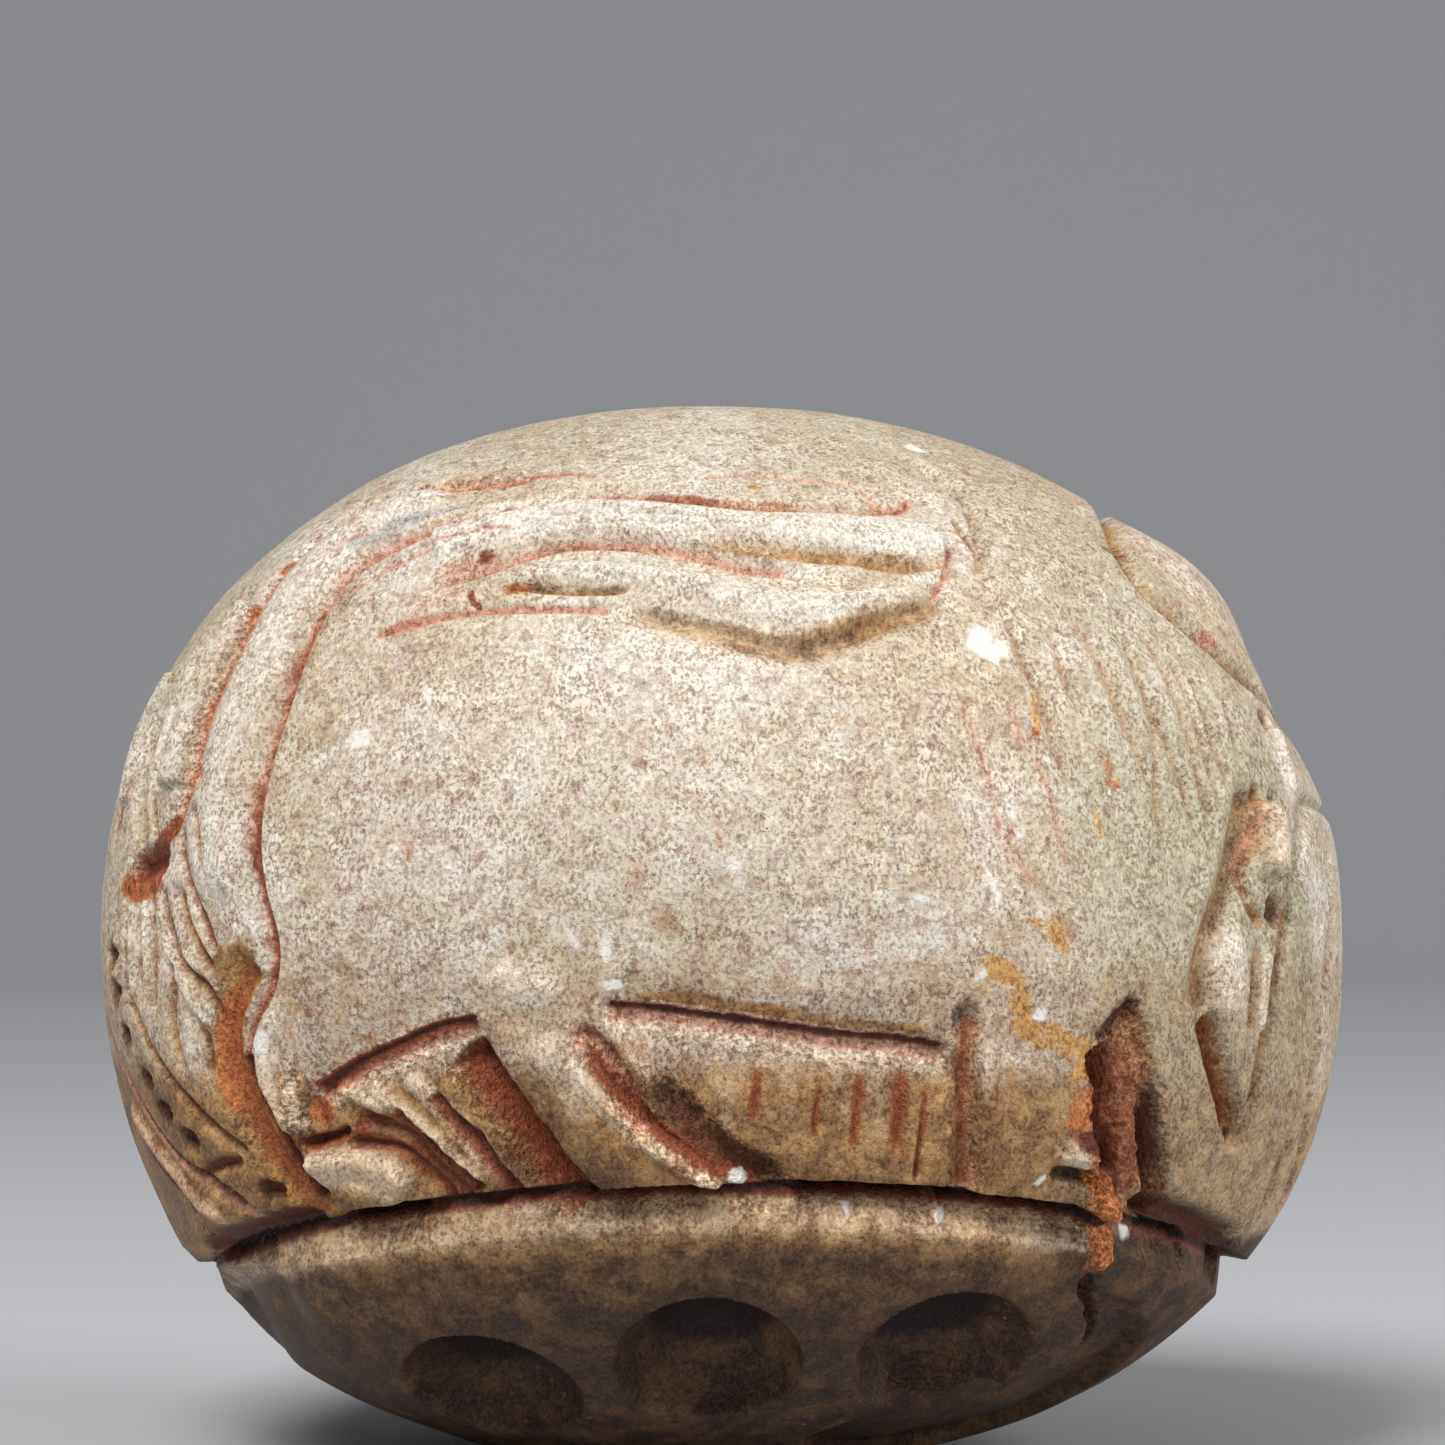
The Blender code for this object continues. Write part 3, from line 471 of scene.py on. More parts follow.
def carve_head(stone):
    stone.hollow([(-68, 36), (-71, 31), (-70.5, 25), (-72, 20), (-71, 14), (-67, 9.5)], 1.3, 0.4,
        khaki=(1.0, 0.9), brown=(0.7, 0.6))
    stone.groove([(-71.5, 20), (-68, 16), (-66.3, 13), (-64.5, 10.5)], 0.5, 0.35, brown=1.0,
        stain=(0.4, 0.5))
    stone.ridge([(-64.5, 34), (-64.5, 27), (-64, 20), (-63.5, 15)], 2.2, 0.45, pale=(0.6, 0.7))
    stone.ridge([(-67.5, 27), (-67.3, 20), (-66, 14)], 0.9, 0.3, pale=(0.9, 0.8))
    stone.ridge([(-75, 26), (-76, 20), (-74, 13)], 1.5, 0.3, pale=(0.5, 0.7))
    stone.hollow([(-69, 7.3), (-66, 8), (-61.5, 9.3)], 1.1 * EYE_WIDTH, 0.7 * EYE_DEPTH, lean=0.45,
        ends=0.6, rough=0.03, rust=1.0, stain=(0.6, 0.5))
    stone.streak([(-71, 6), (-66.5, 5.7), (-62, 6.7)], 1.0, orange=0.8, rust=0.6)
    stone.streak([(-61, 12.5), (-63, 10.5), (-65.8, 7)], 0.9, rust=0.9, orange=0.6)
    stone.hollow([(-76.3, 13), (-75.7, 9.5)], 1.0, 0.3, rust=1.0, stain=(0.5, 0.7))
    stone.groove([(-60, 11.5), (-58.8, 8.5), (-57, 6), (-55.2, 3.5), (-53.2, 0.5)], 0.55, 0.35,
        stain=(0.6, 0.6), rust=(0.9, 0.9))
    stone.groove([(-57.8, 13.5), (-56, 10.7), (-55, 8)], 0.5, 0.25, rust=(0.7, 0.8), brown=1.0)
    for strand in ([(-69.5, 6), (-68.5, 1), (-68, -2), (-67.3, -4.5)],
            [(-66.8, 6), (-65.5, 1), (-64.7, -2), (-64.2, -4.5)],
            [(-64, 6), (-63, 2), (-62.5, -1), (-62.2, -5)],
            [(-62, 6), (-60, 2.5), (-58.5, 0), (-56, -1.7), (-54, -3), (-52, -5.5)],
            [(-59, 6), (-57.5, 3), (-55.5, 0.7), (-53.5, -1.2)],
            [(-59.5, -0.5), (-59, -2.5), (-59, -5.5), (-58.5, -7.7), (-57.5, -10.3)],
            [(-55, -5.5), (-54, -8), (-54, -11)], [(-71.5, 3), (-70.7, -1), (-70, -4)]):
        stone.groove(strand, 0.6, 0.33, brown=(1.0, 0.8), rust=(0.6, 0.5), stain=(0.5, 0.4))
    for ridge in ([(-67.7, 5), (-66.8, 0), (-66, -4)], [(-65, 5), (-63.7, 0), (-63.2, -4)],
            [(-60.7, 1.5), (-57, -2.8), (-54.5, -5.3), (-52.7, -7)], [(-57.5, 0.8), (-55, -1.7)],
            [(-56.5, -5), (-56.3, -8), (-55.5, -11)]):
        stone.ridge(ridge, 0.5, 0.12, pale=0.6)
    stone.groove([(-67.5, -4), (-65.5, -6), (-63.5, -8.2), (-61, -10.3), (-59, -11.9), (-57, -13.3),
        (-55, -14.8), (-53, -16.2), (-50.5, -17.7)], 0.6, 0.35, brown=1.0, stain=(0.6, 0.4))
    for mark in ((-73, -0.5), (-72, -3.8), (-69.5, -7.5), (-65.5, -11.3), (-62.5, -14), (-58.8, -16.5),
            (-49, -21.3)):
        azimuth, elevation = mark
        dot = [(azimuth - 1.6, elevation + 0.5), mark, (azimuth + 1.6, elevation - 0.5)]
        stone.hollow(dot, 1.3 * DOT_WIDTH, 1.2 * DOT_DEPTH, stain=(0.7, 0.5), umber=1.0)
        stone.streak(dot, 1.7 * DOT_WIDTH, brown=0.8, rust=0.3)
    stone.groove([(-59, -19.8), (-55.5, -18.8), (-51.5, -18.3)], 0.7, 0.35, stain=(0.7, 0.8))
    stone.groove([(-98, -7.3), (-90, -5), (-82, -7.3), (-76, -9.7), (-70, -13.2)], 0.7, 0.15, ends=1.0,
        brown=1.0, pink=0.6)
    stone.groove([(-76, -9.7), (-73, -11), (-68, -14.5), (-64.5, -17.2), (-61, -19), (-57, -20.5),
        (-53.5, -22.5), (-52, -25)], 0.8, 0.45, lean=0.4, ends=1.5, umber=(0.7, 0.6), stain=(0.75, 0.4),
        pink=1.0)
    stone.groove([(-98, -14.3), (-90, -12), (-82, -14.3), (-78, -15.5), (-74, -18)], 0.7, 0.15, ends=1.0,
        brown=1.0)
    stone.groove([(-79, -15.3), (-73.5, -18.5), (-67.5, -21.5), (-64, -24), (-63, -27.5), (-65, -30)], 0.8,
        0.45, ends=1.5, brown=1.0, stain=(0.7, 0.4), pink=(0.5, 0.8))
    stone.ridge([(-74, -13.5), (-69, -17.5), (-62, -21.7), (-56.5, -24.3)], 1.0, 0.25, ends=1.5, pink=0.6,
        pale=0.7)


# The ear
# A long leaf is laid back over the flank, with a hooked band above it. Both are left convex by hollowing
# the stone beside them, and the hollows are brown; under the leaf the brown is partly painted shadow.


def carve_ear(stone):
    stone.field([(-29, 40), (-27, 42.5), (-22, 44), (-17, 44.5), (-9.5, 44.5), (-2.5, 43.5), (8, 41.5),
        (15, 41.5), (22, 41.5), (27.5, 40), (29, 38.5), (24, 37.5), (17.5, 35.5), (13.5, 34), (9.5, 34),
        (2.5, 35.5), (-5, 38), (-15.5, 39), (-25.5, 38.5)], 0.35, 1.2, pale=1.0)
    over_ear = [(-36.5, 38.5), (-32, 40.5), (-27.5, 42.8), (-22.5, 44.8), (-17, 45.5), (-10, 45.5)]
    stone.hollow(over_ear + [(-3, 44.5), (3, 43), (9, 42.5)], 0.9, 0.35, lean=0.65, pink=(0.8, 0.7))
    stone.streak(over_ear, 0.35, pink=1.0, rust=0.6)
    stone.hollow([(-2, 46), (5, 45.7), (11.5, 44.7), (18.5, 44), (25, 42.7), (32, 43)], 0.9, 0.2, lean=0.55,
        brown=(0.8, 0.8), ochre=(0.4, 0.7))
    stone.streak([(-2, 45.7), (8, 45), (14, 44.4), (20, 43.8), (29, 42.8)], 0.6, ends=3, brown=1.0,
        ochre=0.35)
    # Under the leaf the brown, khaki and umber are partly a brown line and partly painted shadow.
    stone.hollow([(-12, 37.5), (-2.5, 35.7), (3.5, 34.3), (8.5, 33.3), (12, 33.7), (16, 35), (20.5, 36.5),
        (25, 37.5), (30, 38.7)], 1.15, 0.28, lean=0.28, ends=2, brown=(0.8, 0.9), khaki=0.8)
    stone.streak([(-6, 36), (2, 34.5), (8, 33.4), (15, 34.8), (23, 37.1)], 0.85, ends=3, brown=1.0,
        ochre=0.25)
    stone.streak([(5, 34), (9.5, 33.3), (14.5, 34.5), (17, 35.3)], 0.45, ends=1.5, umber=0.6)
    ear_line = [(-42, 31.7), (-39.5, 32.7), (-35.3, 34.3), (-30.3, 35.6), (-23, 36.6), (-17.5, 37),
        (-14, 37)]
    stone.groove(ear_line, 0.4, 0.2, pink=1.0, rust=(0.5, 0.6))
    stone.streak([(-41, 32), (-38, 33.3), (-35, 34.3)], 0.6, pink=1.0, rust=0.4)
    stone.groove([(-32.5, 38.3), (-31.7, 37), (-30, 36)], 0.3, 0.2, ends=0.2, rust=1.0, stain=(0.3, 0.6))
    stone.hollow([(-28.5, 38), (-26.5, 39), (-22, 39), (-16, 39.3), (-12, 39.8)], 0.4, 0.25, brown=1.0,
        rust=(0.5, 0.6))
    stone.streak([(-28.5, 38.5), (-24.3, 38.9)], 0.6, orange=0.6)
    stone.streak([(-40, 35.7), (-36.5, 37), (-33, 38.7)], 1.6, pink=0.45)
    stone.streak([(-38, 39.5), (-34, 41), (-30.5, 42)], 0.7, pink=0.7)
    stone.streak([(-48, 36.5), (-44, 40), (-38, 43.3), (-30, 46)], 0.3, pink=0.9, rust=0.3)
    stone.streak([(-14, 33), (-6, 32), (2, 30.5)], 2.6, ends=2, pale=0.8)
    stone.spot((-32.5, 42.3), 0.5, rust=1.0, stain=0.4)
    stone.ridge([(-41, 43), (-33, 46.5), (-22, 49.3), (-9.5, 49.7), (3, 48.5), (15, 48), (25.5, 46.5),
        (33, 45)], 2.8, 0.35, pale=(1.0, 0.9))
    for strand in ([(-38, 41.5), (-29, 45), (-22.5, 47.3), (-12.5, 48.3), (-3.5, 48.2)],
            [(-29, 46), (-24, 48), (-15.5, 49), (-6.5, 49.3), (3, 48)],
            [(-26, 47.5), (-16, 49.8), (-6, 50)], [(-25, 41.3), (-18, 41.3), (-10.5, 40.5)],
            [(-22, 42.8), (-12, 42.8), (-3, 41.8)]):
        stone.groove(strand, 0.22, 0.06, grey=0.55)
    over_band = [(-26.5, 51.5), (-21, 52.3), (-12, 52.8), (-3.5, 52.7), (6, 52)]
    stone.hollow(over_band + [(16.5, 51.7), (27, 51)], 0.8, 0.3, lean=0.35, pink=(0.7, 0.6))
    stone.streak(over_band + [(14, 51.7)], 0.25, pink=1.0, rust=0.5)
    stone.groove([(-4, 57), (5.5, 58), (14.5, 57), (23.5, 55.7), (25.5, 53.5), (26, 52.3)], 0.3, 0.12,
        pink=0.8)
    stone.groove([(25.5, 52.7), (26.3, 51.7), (28, 51), (31, 51.8), (33, 52.8)], 0.6, 0.25, ends=0.3,
        pink=1.0, rust=(0.7, 0.5))
    stone.hollow([(43.5, 53), (41.5, 50), (39.5, 46.7), (37, 42.7), (34, 40.5)], 0.6, 0.2, lean=0.55,
        ends=1.5, brown=0.5)
    stone.groove([(37.5, 49.3), (37, 46), (37.3, 43.5)], 0.35, 0.15, brown=0.7)
    stone.groove([(34, 45.3), (32, 42.7), (29, 39.7), (27, 38.5)], 0.6, 0.25, rust=(0.6, 0.5), pink=0.7)
    stone.hollow([(40, 62), (43, 56), (42, 50)], 1.0, 0.25, ends=2, khaki=0.8)


# The rump
# Combed hair over the haunch, a hump behind it, a drop-shaped boss in a ring of lines, and long lobes that
# run down to the waist. One gouge beside them is filled with rust.


def carve_rump(stone):
    for strand in ([(36, 36.5), (36.5, 33), (36.5, 29.5), (37, 26), (37, 21), (38, 16)],
            [(41.5, 35.5), (41.5, 31.5), (41, 28), (41.5, 24)],
            [(45.5, 35.5), (46.5, 31.5), (46.5, 28), (46.5, 24), (47, 20), (48, 15)],
            [(52.5, 34), (51.5, 30), (51, 26), (50.3, 22.5), (48.7, 18), (47.7, 14), (48, 10)],
            [(52, 36), (55, 32.5), (55.5, 29), (55.2, 25), (54.7, 20), (54, 15.5), (54.5, 12)],
            [(60, 31), (59.3, 27), (58.5, 23), (58, 19), (58.5, 15)],
            [(51, 26), (51, 21.5), (51.5, 17), (52, 11)], [(63.5, 28), (62.7, 23), (61.5, 18)],
            [(57.5, 31), (57, 26), (56.3, 20), (56.3, 14)]):
        stone.groove(strand, 0.5, 0.2, lean=0.4, ends=1.5, brown=(0.6, 0.6), pink=(0.45, 0.4))
    for strand in ([(44, 34), (44, 27), (44.5, 20)], [(49, 34), (48.7, 27), (48, 22)],
            [(53.5, 32), (53, 26), (52.5, 20)], [(57, 30), (57, 25), (56, 20)],
            [(61.5, 29), (60.7, 23), (59.7, 18)]):
        stone.ridge(strand, 1.0, 0.1, ends=2, pale=(0.5, 0.6))
    stone.ridge([(100, 38), (90, 37), (80, 38), (70, 38)], 6.5, 0.4, ends=2)
    # The khaki and brown in the groove below the hump are partly painted shade.
    stone.groove([(104, 46.5), (90, 49), (76, 46.5), (68, 43.5), (64.5, 41), (62.5, 37.5), (63.2, 35),
        (65, 32.5), (67, 30.5), (70, 27.5), (80, 22.5), (90, 21), (100, 22.5)], 1.1, 0.5, lean=0.35,
        khaki=(0.8, 0.9), brown=(0.9, 0.5))
    stone.hollow([(98, 20), (90, 24), (82, 20), (73, 18)], 7.0, 0.4, ends=3)
    stone.drill((70.2, 21.8), 0.8, 0.35, brown=1.0, umber=(0.8, 0.8))
    stone.ridge([(72, 21), (71.5, 18.5), (70, 14.5)], 0.9, 0.2, pale=0.8)

    # The boss, its pit and the lines that close round it
    # The pale down the middle of the boss is a painted highlight on its gloss.
    stone.ridge([(62.5, 14.5), (62, 10.5), (60.7, 6.5)], 2.0, 0.7, ends=0.8, pale=(0.8, 0.6),
        brown=(0.6, 0.9))
    stone.groove([(63, 16), (61, 12.3), (58.8, 9.7), (57.5, 7.5), (57.8, 5), (59.5, 2.5)], 0.7, 0.5,
        brown=1.0, pink=(0.65, 0.5))
    stone.groove([(62.8, 15.5), (61.2, 12.5), (59.5, 10.7)], 0.7, 0.3, brown=1.0, rust=(0.4, 0.6))
    stone.groove([(65.5, 15), (63.5, 11), (64.3, 7), (64.5, 4.5), (62.5, 1.5), (61.3, -1), (60.3, -3.5),
        (59.3, -6.5), (58.7, -10), (58.3, -14)], 0.6, 0.42, brown=(1.0, 0.8), pink=(0.5, 0.8))
    stone.drill((61.7, 4), 1.2, 0.6, brown=1.0, umber=(1.0, 0.8))
    # The brown and khaki in the valley beside the boss are partly painted shade.
    stone.hollow([(61.5, 15), (58.5, 11), (56, 7), (53.5, 3.5), (51.5, -0.5), (50.5, -5)], 1.5, 0.5,
        lean=0.35, brown=(0.8, 0.7), khaki=0.8)
    # The pale on this ridge is partly whiter stone and partly painted sheen.
    stone.ridge([(55.5, 3), (54.3, 0), (54.3, -3), (54.8, -6)], 2.0, 0.25, ends=1.5, pale=0.9)
    stone.groove([(58.3, 1), (57.3, -2.5), (57, -7)], 0.5, 0.25, brown=(0.9, 0.8))
    stone.ridge([(59.8, 0.5), (58.8, -3), (58.3, -7)], 0.6, 0.15, pale=0.9)

    # Long lobes past the boss
    stone.groove([(102, 13.5), (90, 12), (78, 13.5), (73.5, 14), (69.5, 11), (67.5, 8), (66, 5.5)], 0.8,
        0.38, khaki=(1.0, 0.8))
    stone.groove([(77, 9), (75.7, 3), (73, 0), (72, -3), (70.8, -6.5), (69.8, -10), (71, -14), (73.5, -19),
        (75, -24)], 0.8, 0.38, brown=(0.8, 0.6), khaki=1.0)
    stone.spot((70.5, -8), 0.8, orange=0.3)
    stone.groove([(68, -16), (67.5, -19), (68.5, -24)], 0.6, 0.28, brown=(0.9, 0.8))
    stone.hollow([(51, -5), (52, -7.5), (53.2, -10), (55, -13), (57, -16)], 1.2, 0.7, lean=0.4, rough=0.02,
        rust=(0.8, 0.6), orange=(0.45, 0.9), stain=(0.5, 0.4), brown=1.0)
    stone.drill((57, -16.5), 0.9, 0.5, stain=(0.7, 0.7))


# The breaks
# A crack runs from the flank across the waist into the pad. A strip of stone has come away beside it, its
# bed is rough, iron rust fills part of it, and the pad's lower edge is chipped.


def carve_breaks(stone):
    stone.side = "near"
    stone.field([(43, -3.5), (40.5, -6), (38.7, -8.3), (40, -12), (41.5, -18), (43.5, -23.5), (47, -25.5),
        (52.5, -25), (49.5, -20), (47, -15.5), (45.5, -10), (44.5, -6)], -0.42, 0.35, rough=0.09, brown=1.0,
        rust=0.45, pink=0.4)
    stone.groove([(43.3, -3.7), (41.5, -5.3), (40, -6.7), (38.8, -8)], 0.8, 0.55, lean=0.35, rough=0.04,
        umber=(1.0, 0.9), stain=(0.7, 0.5))
    stone.groove([(38.7, -8), (39.5, -10), (40.3, -12.5), (40.7, -15), (41.5, -18), (42.5, -21)], 1.1, 1.2,
        lean=0.5, rough=0.09, stain=(0.65, 0.4), rust=1.0)
    stone.streak([(41, -8), (42.3, -13), (43.7, -18), (45.5, -23)], 1.6, rust=0.7, pink=0.5)
    stone.streak([(37.6, -12), (37.2, -14.5), (37.6, -16.3)], 1.1, orange=0.8)
    stone.groove([(38.3, -8.8), (38.9, -12.5), (39.8, -16), (40.8, -19.5), (42.7, -23.5)], 0.9, 0.2,
        rough=0.08, orange=0.9, rust=(0.5, 0.6))
    stone.groove([(45.7, -12), (46.5, -15.3), (47.7, -18.7), (50, -23.5)], 0.8, 0.7, lean=0.4, ends=1.5,
        rough=0.07, umber=1.0, stain=(0.7, 0.6))
    stone.groove([(44, -31), (45, -33), (46.8, -34), (48, -35.7), (50.5, -37), (54.5, -42)], 0.7, 0.6,
        rough=0.06, stain=(0.8, 0.6), umber=0.8)
    stone.ridge([(39.5, -15.5), (40.2, -18.5), (41.2, -21.5), (42.5, -24.5), (43.8, -27), (44.5, -31)], 1.3,
        0.35, soft=False, ends=1.5, rough=0.1, orange=1.0, rust=(0.3, 0.4))
    stone.ridge([(40.8, -21), (41.6, -23.3), (42.8, -25.9)], 1.3, 0.9, soft=False, ends=0.5, rough=0.1,
        orange=1.0)
    stone.streak([(41.7, -16), (43, -19.5), (44.6, -23.3)], 0.5, rust=1.0, stain=0.6)
    stone.streak([(37, -17), (39.5, -17.3), (41, -18.3)], 0.8, rust=1.0, stain=0.7)
    stone.ridge([(35.5, -18.4), (38.5, -18.8), (42, -20.1)], 1.0, 0.3, soft=False, lean=0.6, pale=0.8)
    stone.hollow([(35, -20.3), (38.5, -20.6), (42.3, -22)], 0.7, 0.35, umber=0.9)
    stone.spot((47.8, -27), 0.7, white=0.7)
    stone.field([(44, -33), (48, -37), (50, -43), (40, -47), (28, -50.5), (15, -62), (40, -70), (70, -60),
        (66, -42), (54, -34)], -0.55, 0.5, rough=0.015)
    stone.side = None


# The underside
# Of the intaglio on the pad's cut face only bowls can be seen, sunk with a round drill along each side.
# They are dark inside with soil and painted shade, and the painted shade reaches a little over their upper
# rims.
PIT_WIDTH = 5.4
PIT_DEPTH = 2.2


def drill_underside(stone):
    for mark in ((-34.5, -47), (-2, -45), (31, -43)):
        stone.drill(mark, PIT_WIDTH, PIT_DEPTH, steep=0.7, umber=1.0)
        # A wider round set a little higher adds no depth, and darkens the upper side of each pit with
        # painted shade and soil.
        stone.drill((mark[0], mark[1] + 2.0), 1.05 * PIT_WIDTH, 0.0, umber=2.2)


# Inclusions
# White shell specks, ochre and rusty patches, and fine grey veins lie in the stone itself, so each side has
# its own. Those of the far side are strewn at random.


def strew_inclusions(stone):
    stone.side = "near"
    stone.streak([(-14, 53.3), (-9, 52.8), (-4, 53), (0, 52.8)], 0.6, ends=1.5, rust=0.8, orange=0.4)
    stone.streak([(-1, 53), (6, 52.5), (14, 52)], 0.5, ends=1.5, orange=0.5)
    stone.spot((66, 42.8), 0.7, rust=0.9)
    stone.spot((68, 30.7), 0.8, pink=0.9, rust=0.4)
    stone.spot((64.8, 35), 0.6, rust=0.6)
    stone.spot((65.5, 30.3), 0.6, grey=0.9)
    for mark, width in (((1.5, -22.6), 0.5), ((48, 63), 0.8), ((32, 32.8), 1.1), ((33.5, 31.5), 0.8),
            ((-33, 26.3), 0.5), ((-39, 21), 0.6), ((30.7, 14.5), 0.5), ((31, 12.5), 0.4), ((26.7, -1), 0.4),
            ((32.5, -5), 0.4), ((-11, -2), 0.4), ((34, -21.3), 0.4), ((14, -26), 0.4), ((24.5, -26), 0.4),
            ((-47.3, -7.5), 0.7)):
        stone.spot(mark, 1.2 * width, white=0.8)
    for marks, width in (([(-12.5, 3), (-12.3, 0.5)], 0.35), ([(-6.5, 12), (-6, 9.5)], 0.4),
            ([(1, 11.5), (2, 8)], 0.3), ([(20.5, 8), (21, 4.5)], 0.35), ([(-18, 2.5), (-13.5, 2)], 0.3),
            ([(27, 10), (28.5, 6)], 0.3), ([(-17.3, 5.5), (-16.5, 4)], 0.5)):
        stone.streak(marks, width, ends=1.2, white=0.7, pale=0.8)
    for marks, width in (([(26.5, 0.3), (29, -1), (30.5, -3.5), (31, -6), (33.5, -7.2), (38, -8.3)], 0.9),
            ([(34.5, 5), (34.5, 1.2)], 1.0), ([(31.7, 4.7), (32, 3.3)], 0.5),
            ([(37, -8.5), (36.5, -12)], 1.1), ([(36, 27), (35, 22.3)], 0.5),
            ([(40, 15), (40.5, 11.5)], 0.6), ([(51, 57), (53, 55)], 0.6), ([(4, 56), (8, 55)], 0.7)):
        stone.streak(marks, width, ochre=0.8)
    for marks, width in (([(-6.5, 6), (-5, 2.5)], 0.8), ([(-9.5, 21.5), (-8.5, 19.5)], 0.5),
            ([(-12.5, 16.5), (-10, 15.5)], 0.6), ([(-9, 11), (-8, 8)], 0.7),
            ([(-2.5, 22), (-1.5, 20)], 0.5), ([(-29, 17), (-27.5, 15)], 0.6), ([(-24, 6), (-22.5, 4)], 0.6),
            ([(12, 26), (14, 24.5)], 0.6)):
        stone.streak(marks, width, brown=0.6, pink=0.5)
    for marks, width in (([(-0.8, 14.5), (-0.2, 12)], 0.4), ([(-33, 12), (-32, 10)], 0.6),
            ([(42.5, 20.5), (42.5, 16)], 0.8), ([(56.7, 48), (57.5, 46.5)], 0.6),
            ([(48, 56), (47.5, 54.5)], 0.5), ([(35, 23.5), (35, 21.5)], 0.5)):
        stone.streak(marks, width, orange=0.6, rust=0.45)
    for marks, width in (([(34, 21), (35, 17), (35.5, 13), (36, 9)], 0.8),
            ([(30.5, 14), (30, 11), (32, 8), (32.5, 6)], 0.8), ([(32.5, 27), (33, 23), (33.7, 21)], 0.7),
            ([(27, 27), (28.5, 19), (29, 11)], 0.6)):
        stone.streak(marks, width, ends=2, rust=0.45, pink=0.6)
    for marks in ([(-19, 36), (-17.5, 35), (-16, 32.5), (-14, 31), (-12, 29.5), (-8, 28)],
            [(-3.5, 50), (-1.5, 48.5), (-0.5, 47), (1, 45.5)], [(4.5, 41.5), (5.5, 38.5), (6.5, 36)],
            [(-38, 32.5), (-37.5, 29.5), (-38.5, 27.5), (-41.5, 25)], [(-36.5, 47), (-32.5, 44)],
            [(17.5, 23), (17.5, 17.5), (18, 10.5), (19, 3.5)]):
        stone.groove(marks, 0.2, 0.05, grey=0.65)
    stone.side = "far"
    rng = np.random.default_rng(5)
    for tint in ("white", "ochre", "rust", "white", "orange", "grey") * 4:
        mark = (rng.uniform(-60, 60), rng.uniform(-5, 60))
        turn = (rng.uniform(-4, 4), rng.uniform(1, 4))
        stone.streak([mark, (mark[0] + turn[0], mark[1] + turn[1])], rng.uniform(0.4, 0.9), **{tint: 0.7})
    stone.side = None


# Handling, soil and painted shade
# The leg zone, the muzzle and the pad are browned by soil and grease, and the legs, the lower flank and the
# pad are darkened further with painted shade, the more the lower they lie. The flank and the crown stay
# light, and the rump end is a greener beige.


def soil_and_painted_shade(stone):
    azimuth, elevation = stone.azimuth, stone.elevation
    # Brown and umber that grow towards the bottom are painted shade as well as soil.
    legs = eased(-5.0, -14.0, elevation) * (1.0 - 0.35 * eased(28.0, 45.0, azimuth))
    middle = eased(-30.0, -20.0, azimuth) * eased(-4.0, -12.0, azimuth) * eased(-6.0, -12.0, elevation)
    above = 0.5 * eased(4.0, -3.0, elevation) * eased(-52.0, -44.0, azimuth)
    pad = eased(-26.0, -29.0, elevation)
    muzzle = 0.45 * eased(-50.0, -62.0, azimuth) * eased(10.0, -6.0, elevation)
    head = 0.25 * eased(-55.0, -66.0, azimuth) * eased(40.0, 10.0, elevation)
    hump = 0.25 * eased(56.0, 64.0, azimuth) * eased(20.0, 30.0, elevation)
    for name, masks in (("brown", (legs, pad, muzzle, head, above, hump)),
                        ("umber", (0.5 * middle, 0.75 * eased(-27.0, -31.0, elevation),
                                   eased(-30.0, -38.0, elevation),
                                   eased(30.0, 45.0, azimuth) * eased(-25.5, -28.0, elevation))),
                        ("khaki", (eased(20.0, 48.0, azimuth) * (1.0 - 0.9 * eased(66.0, 72.0, azimuth))
                                   * (1.0 - 0.35 * eased(12.0, 30.0, elevation)),
                                   0.6 * eased(-62.0, -72.0, azimuth) * eased(10.0, 25.0, elevation),
                                   0.6 * eased(45.0, 60.0, elevation))),
                        ("pale", (0.45 * eased(-45.0, -20.0, azimuth) * eased(30.0, 5.0, azimuth)
                                  * eased(-2.0, 10.0, elevation),
                                  0.35 * eased(66.0, 71.0, azimuth) * eased(18.0, 10.0, elevation)
                                  * eased(-20.0, -10.0, elevation)))):
        stone.tints[name] = np.maximum.reduce([stone.tints[name], *masks])


def carve(directions):
    stone = Carving(directions)
    for work in (carve_legs, carve_waist, carve_mane, carve_head, carve_ear, carve_rump, carve_breaks,
                 drill_underside, strew_inclusions, soil_and_painted_shade):
        work(stone)
    return stone


# The carved stone
# The blank is a fine sphere pushed out to the loaf's form and cut by every tool in turn. It is then thinned
# to under 200,000 faces where it is smooth, bored lengthwise for its string, and set on its small flat.
SPHERE_LEVELS = 9
FACES = 194000
HOLE_SIDES = 48


def read_points(mesh):
    points = np.empty(3 * len(mesh.vertices))
    mesh.vertices.foreach_get("co", points)
    return points.reshape(-1, 3)


bpy.ops.object.select_all(action="DESELECT")
bpy.ops.mesh.primitive_ico_sphere_add(subdivisions=SPHERE_LEVELS, radius=1.0)
stone = bpy.context.object
stone.name = "carved_stone_finish"
directions = read_points(stone.data)
directions /= np.linalg.norm(directions, axis=1)[:, None]
carving = carve(directions)
points = directions * (smooth_radius(directions) + carving.height())[:, None]
points[:, 2] += KEEL_DEPTH - REST_CUT
points[:, 2] = np.maximum(points[:, 2], 0.0)
stone.data.vertices.foreach_set("co", (points * MM).ravel())
stone.data.update()

thinned = stone.modifiers.new("Thinned", "DECIMATE")
thinned.ratio = min(1.0, FACES / len(stone.data.polygons))
bpy.ops.object.modifier_apply(modifier=thinned.name)

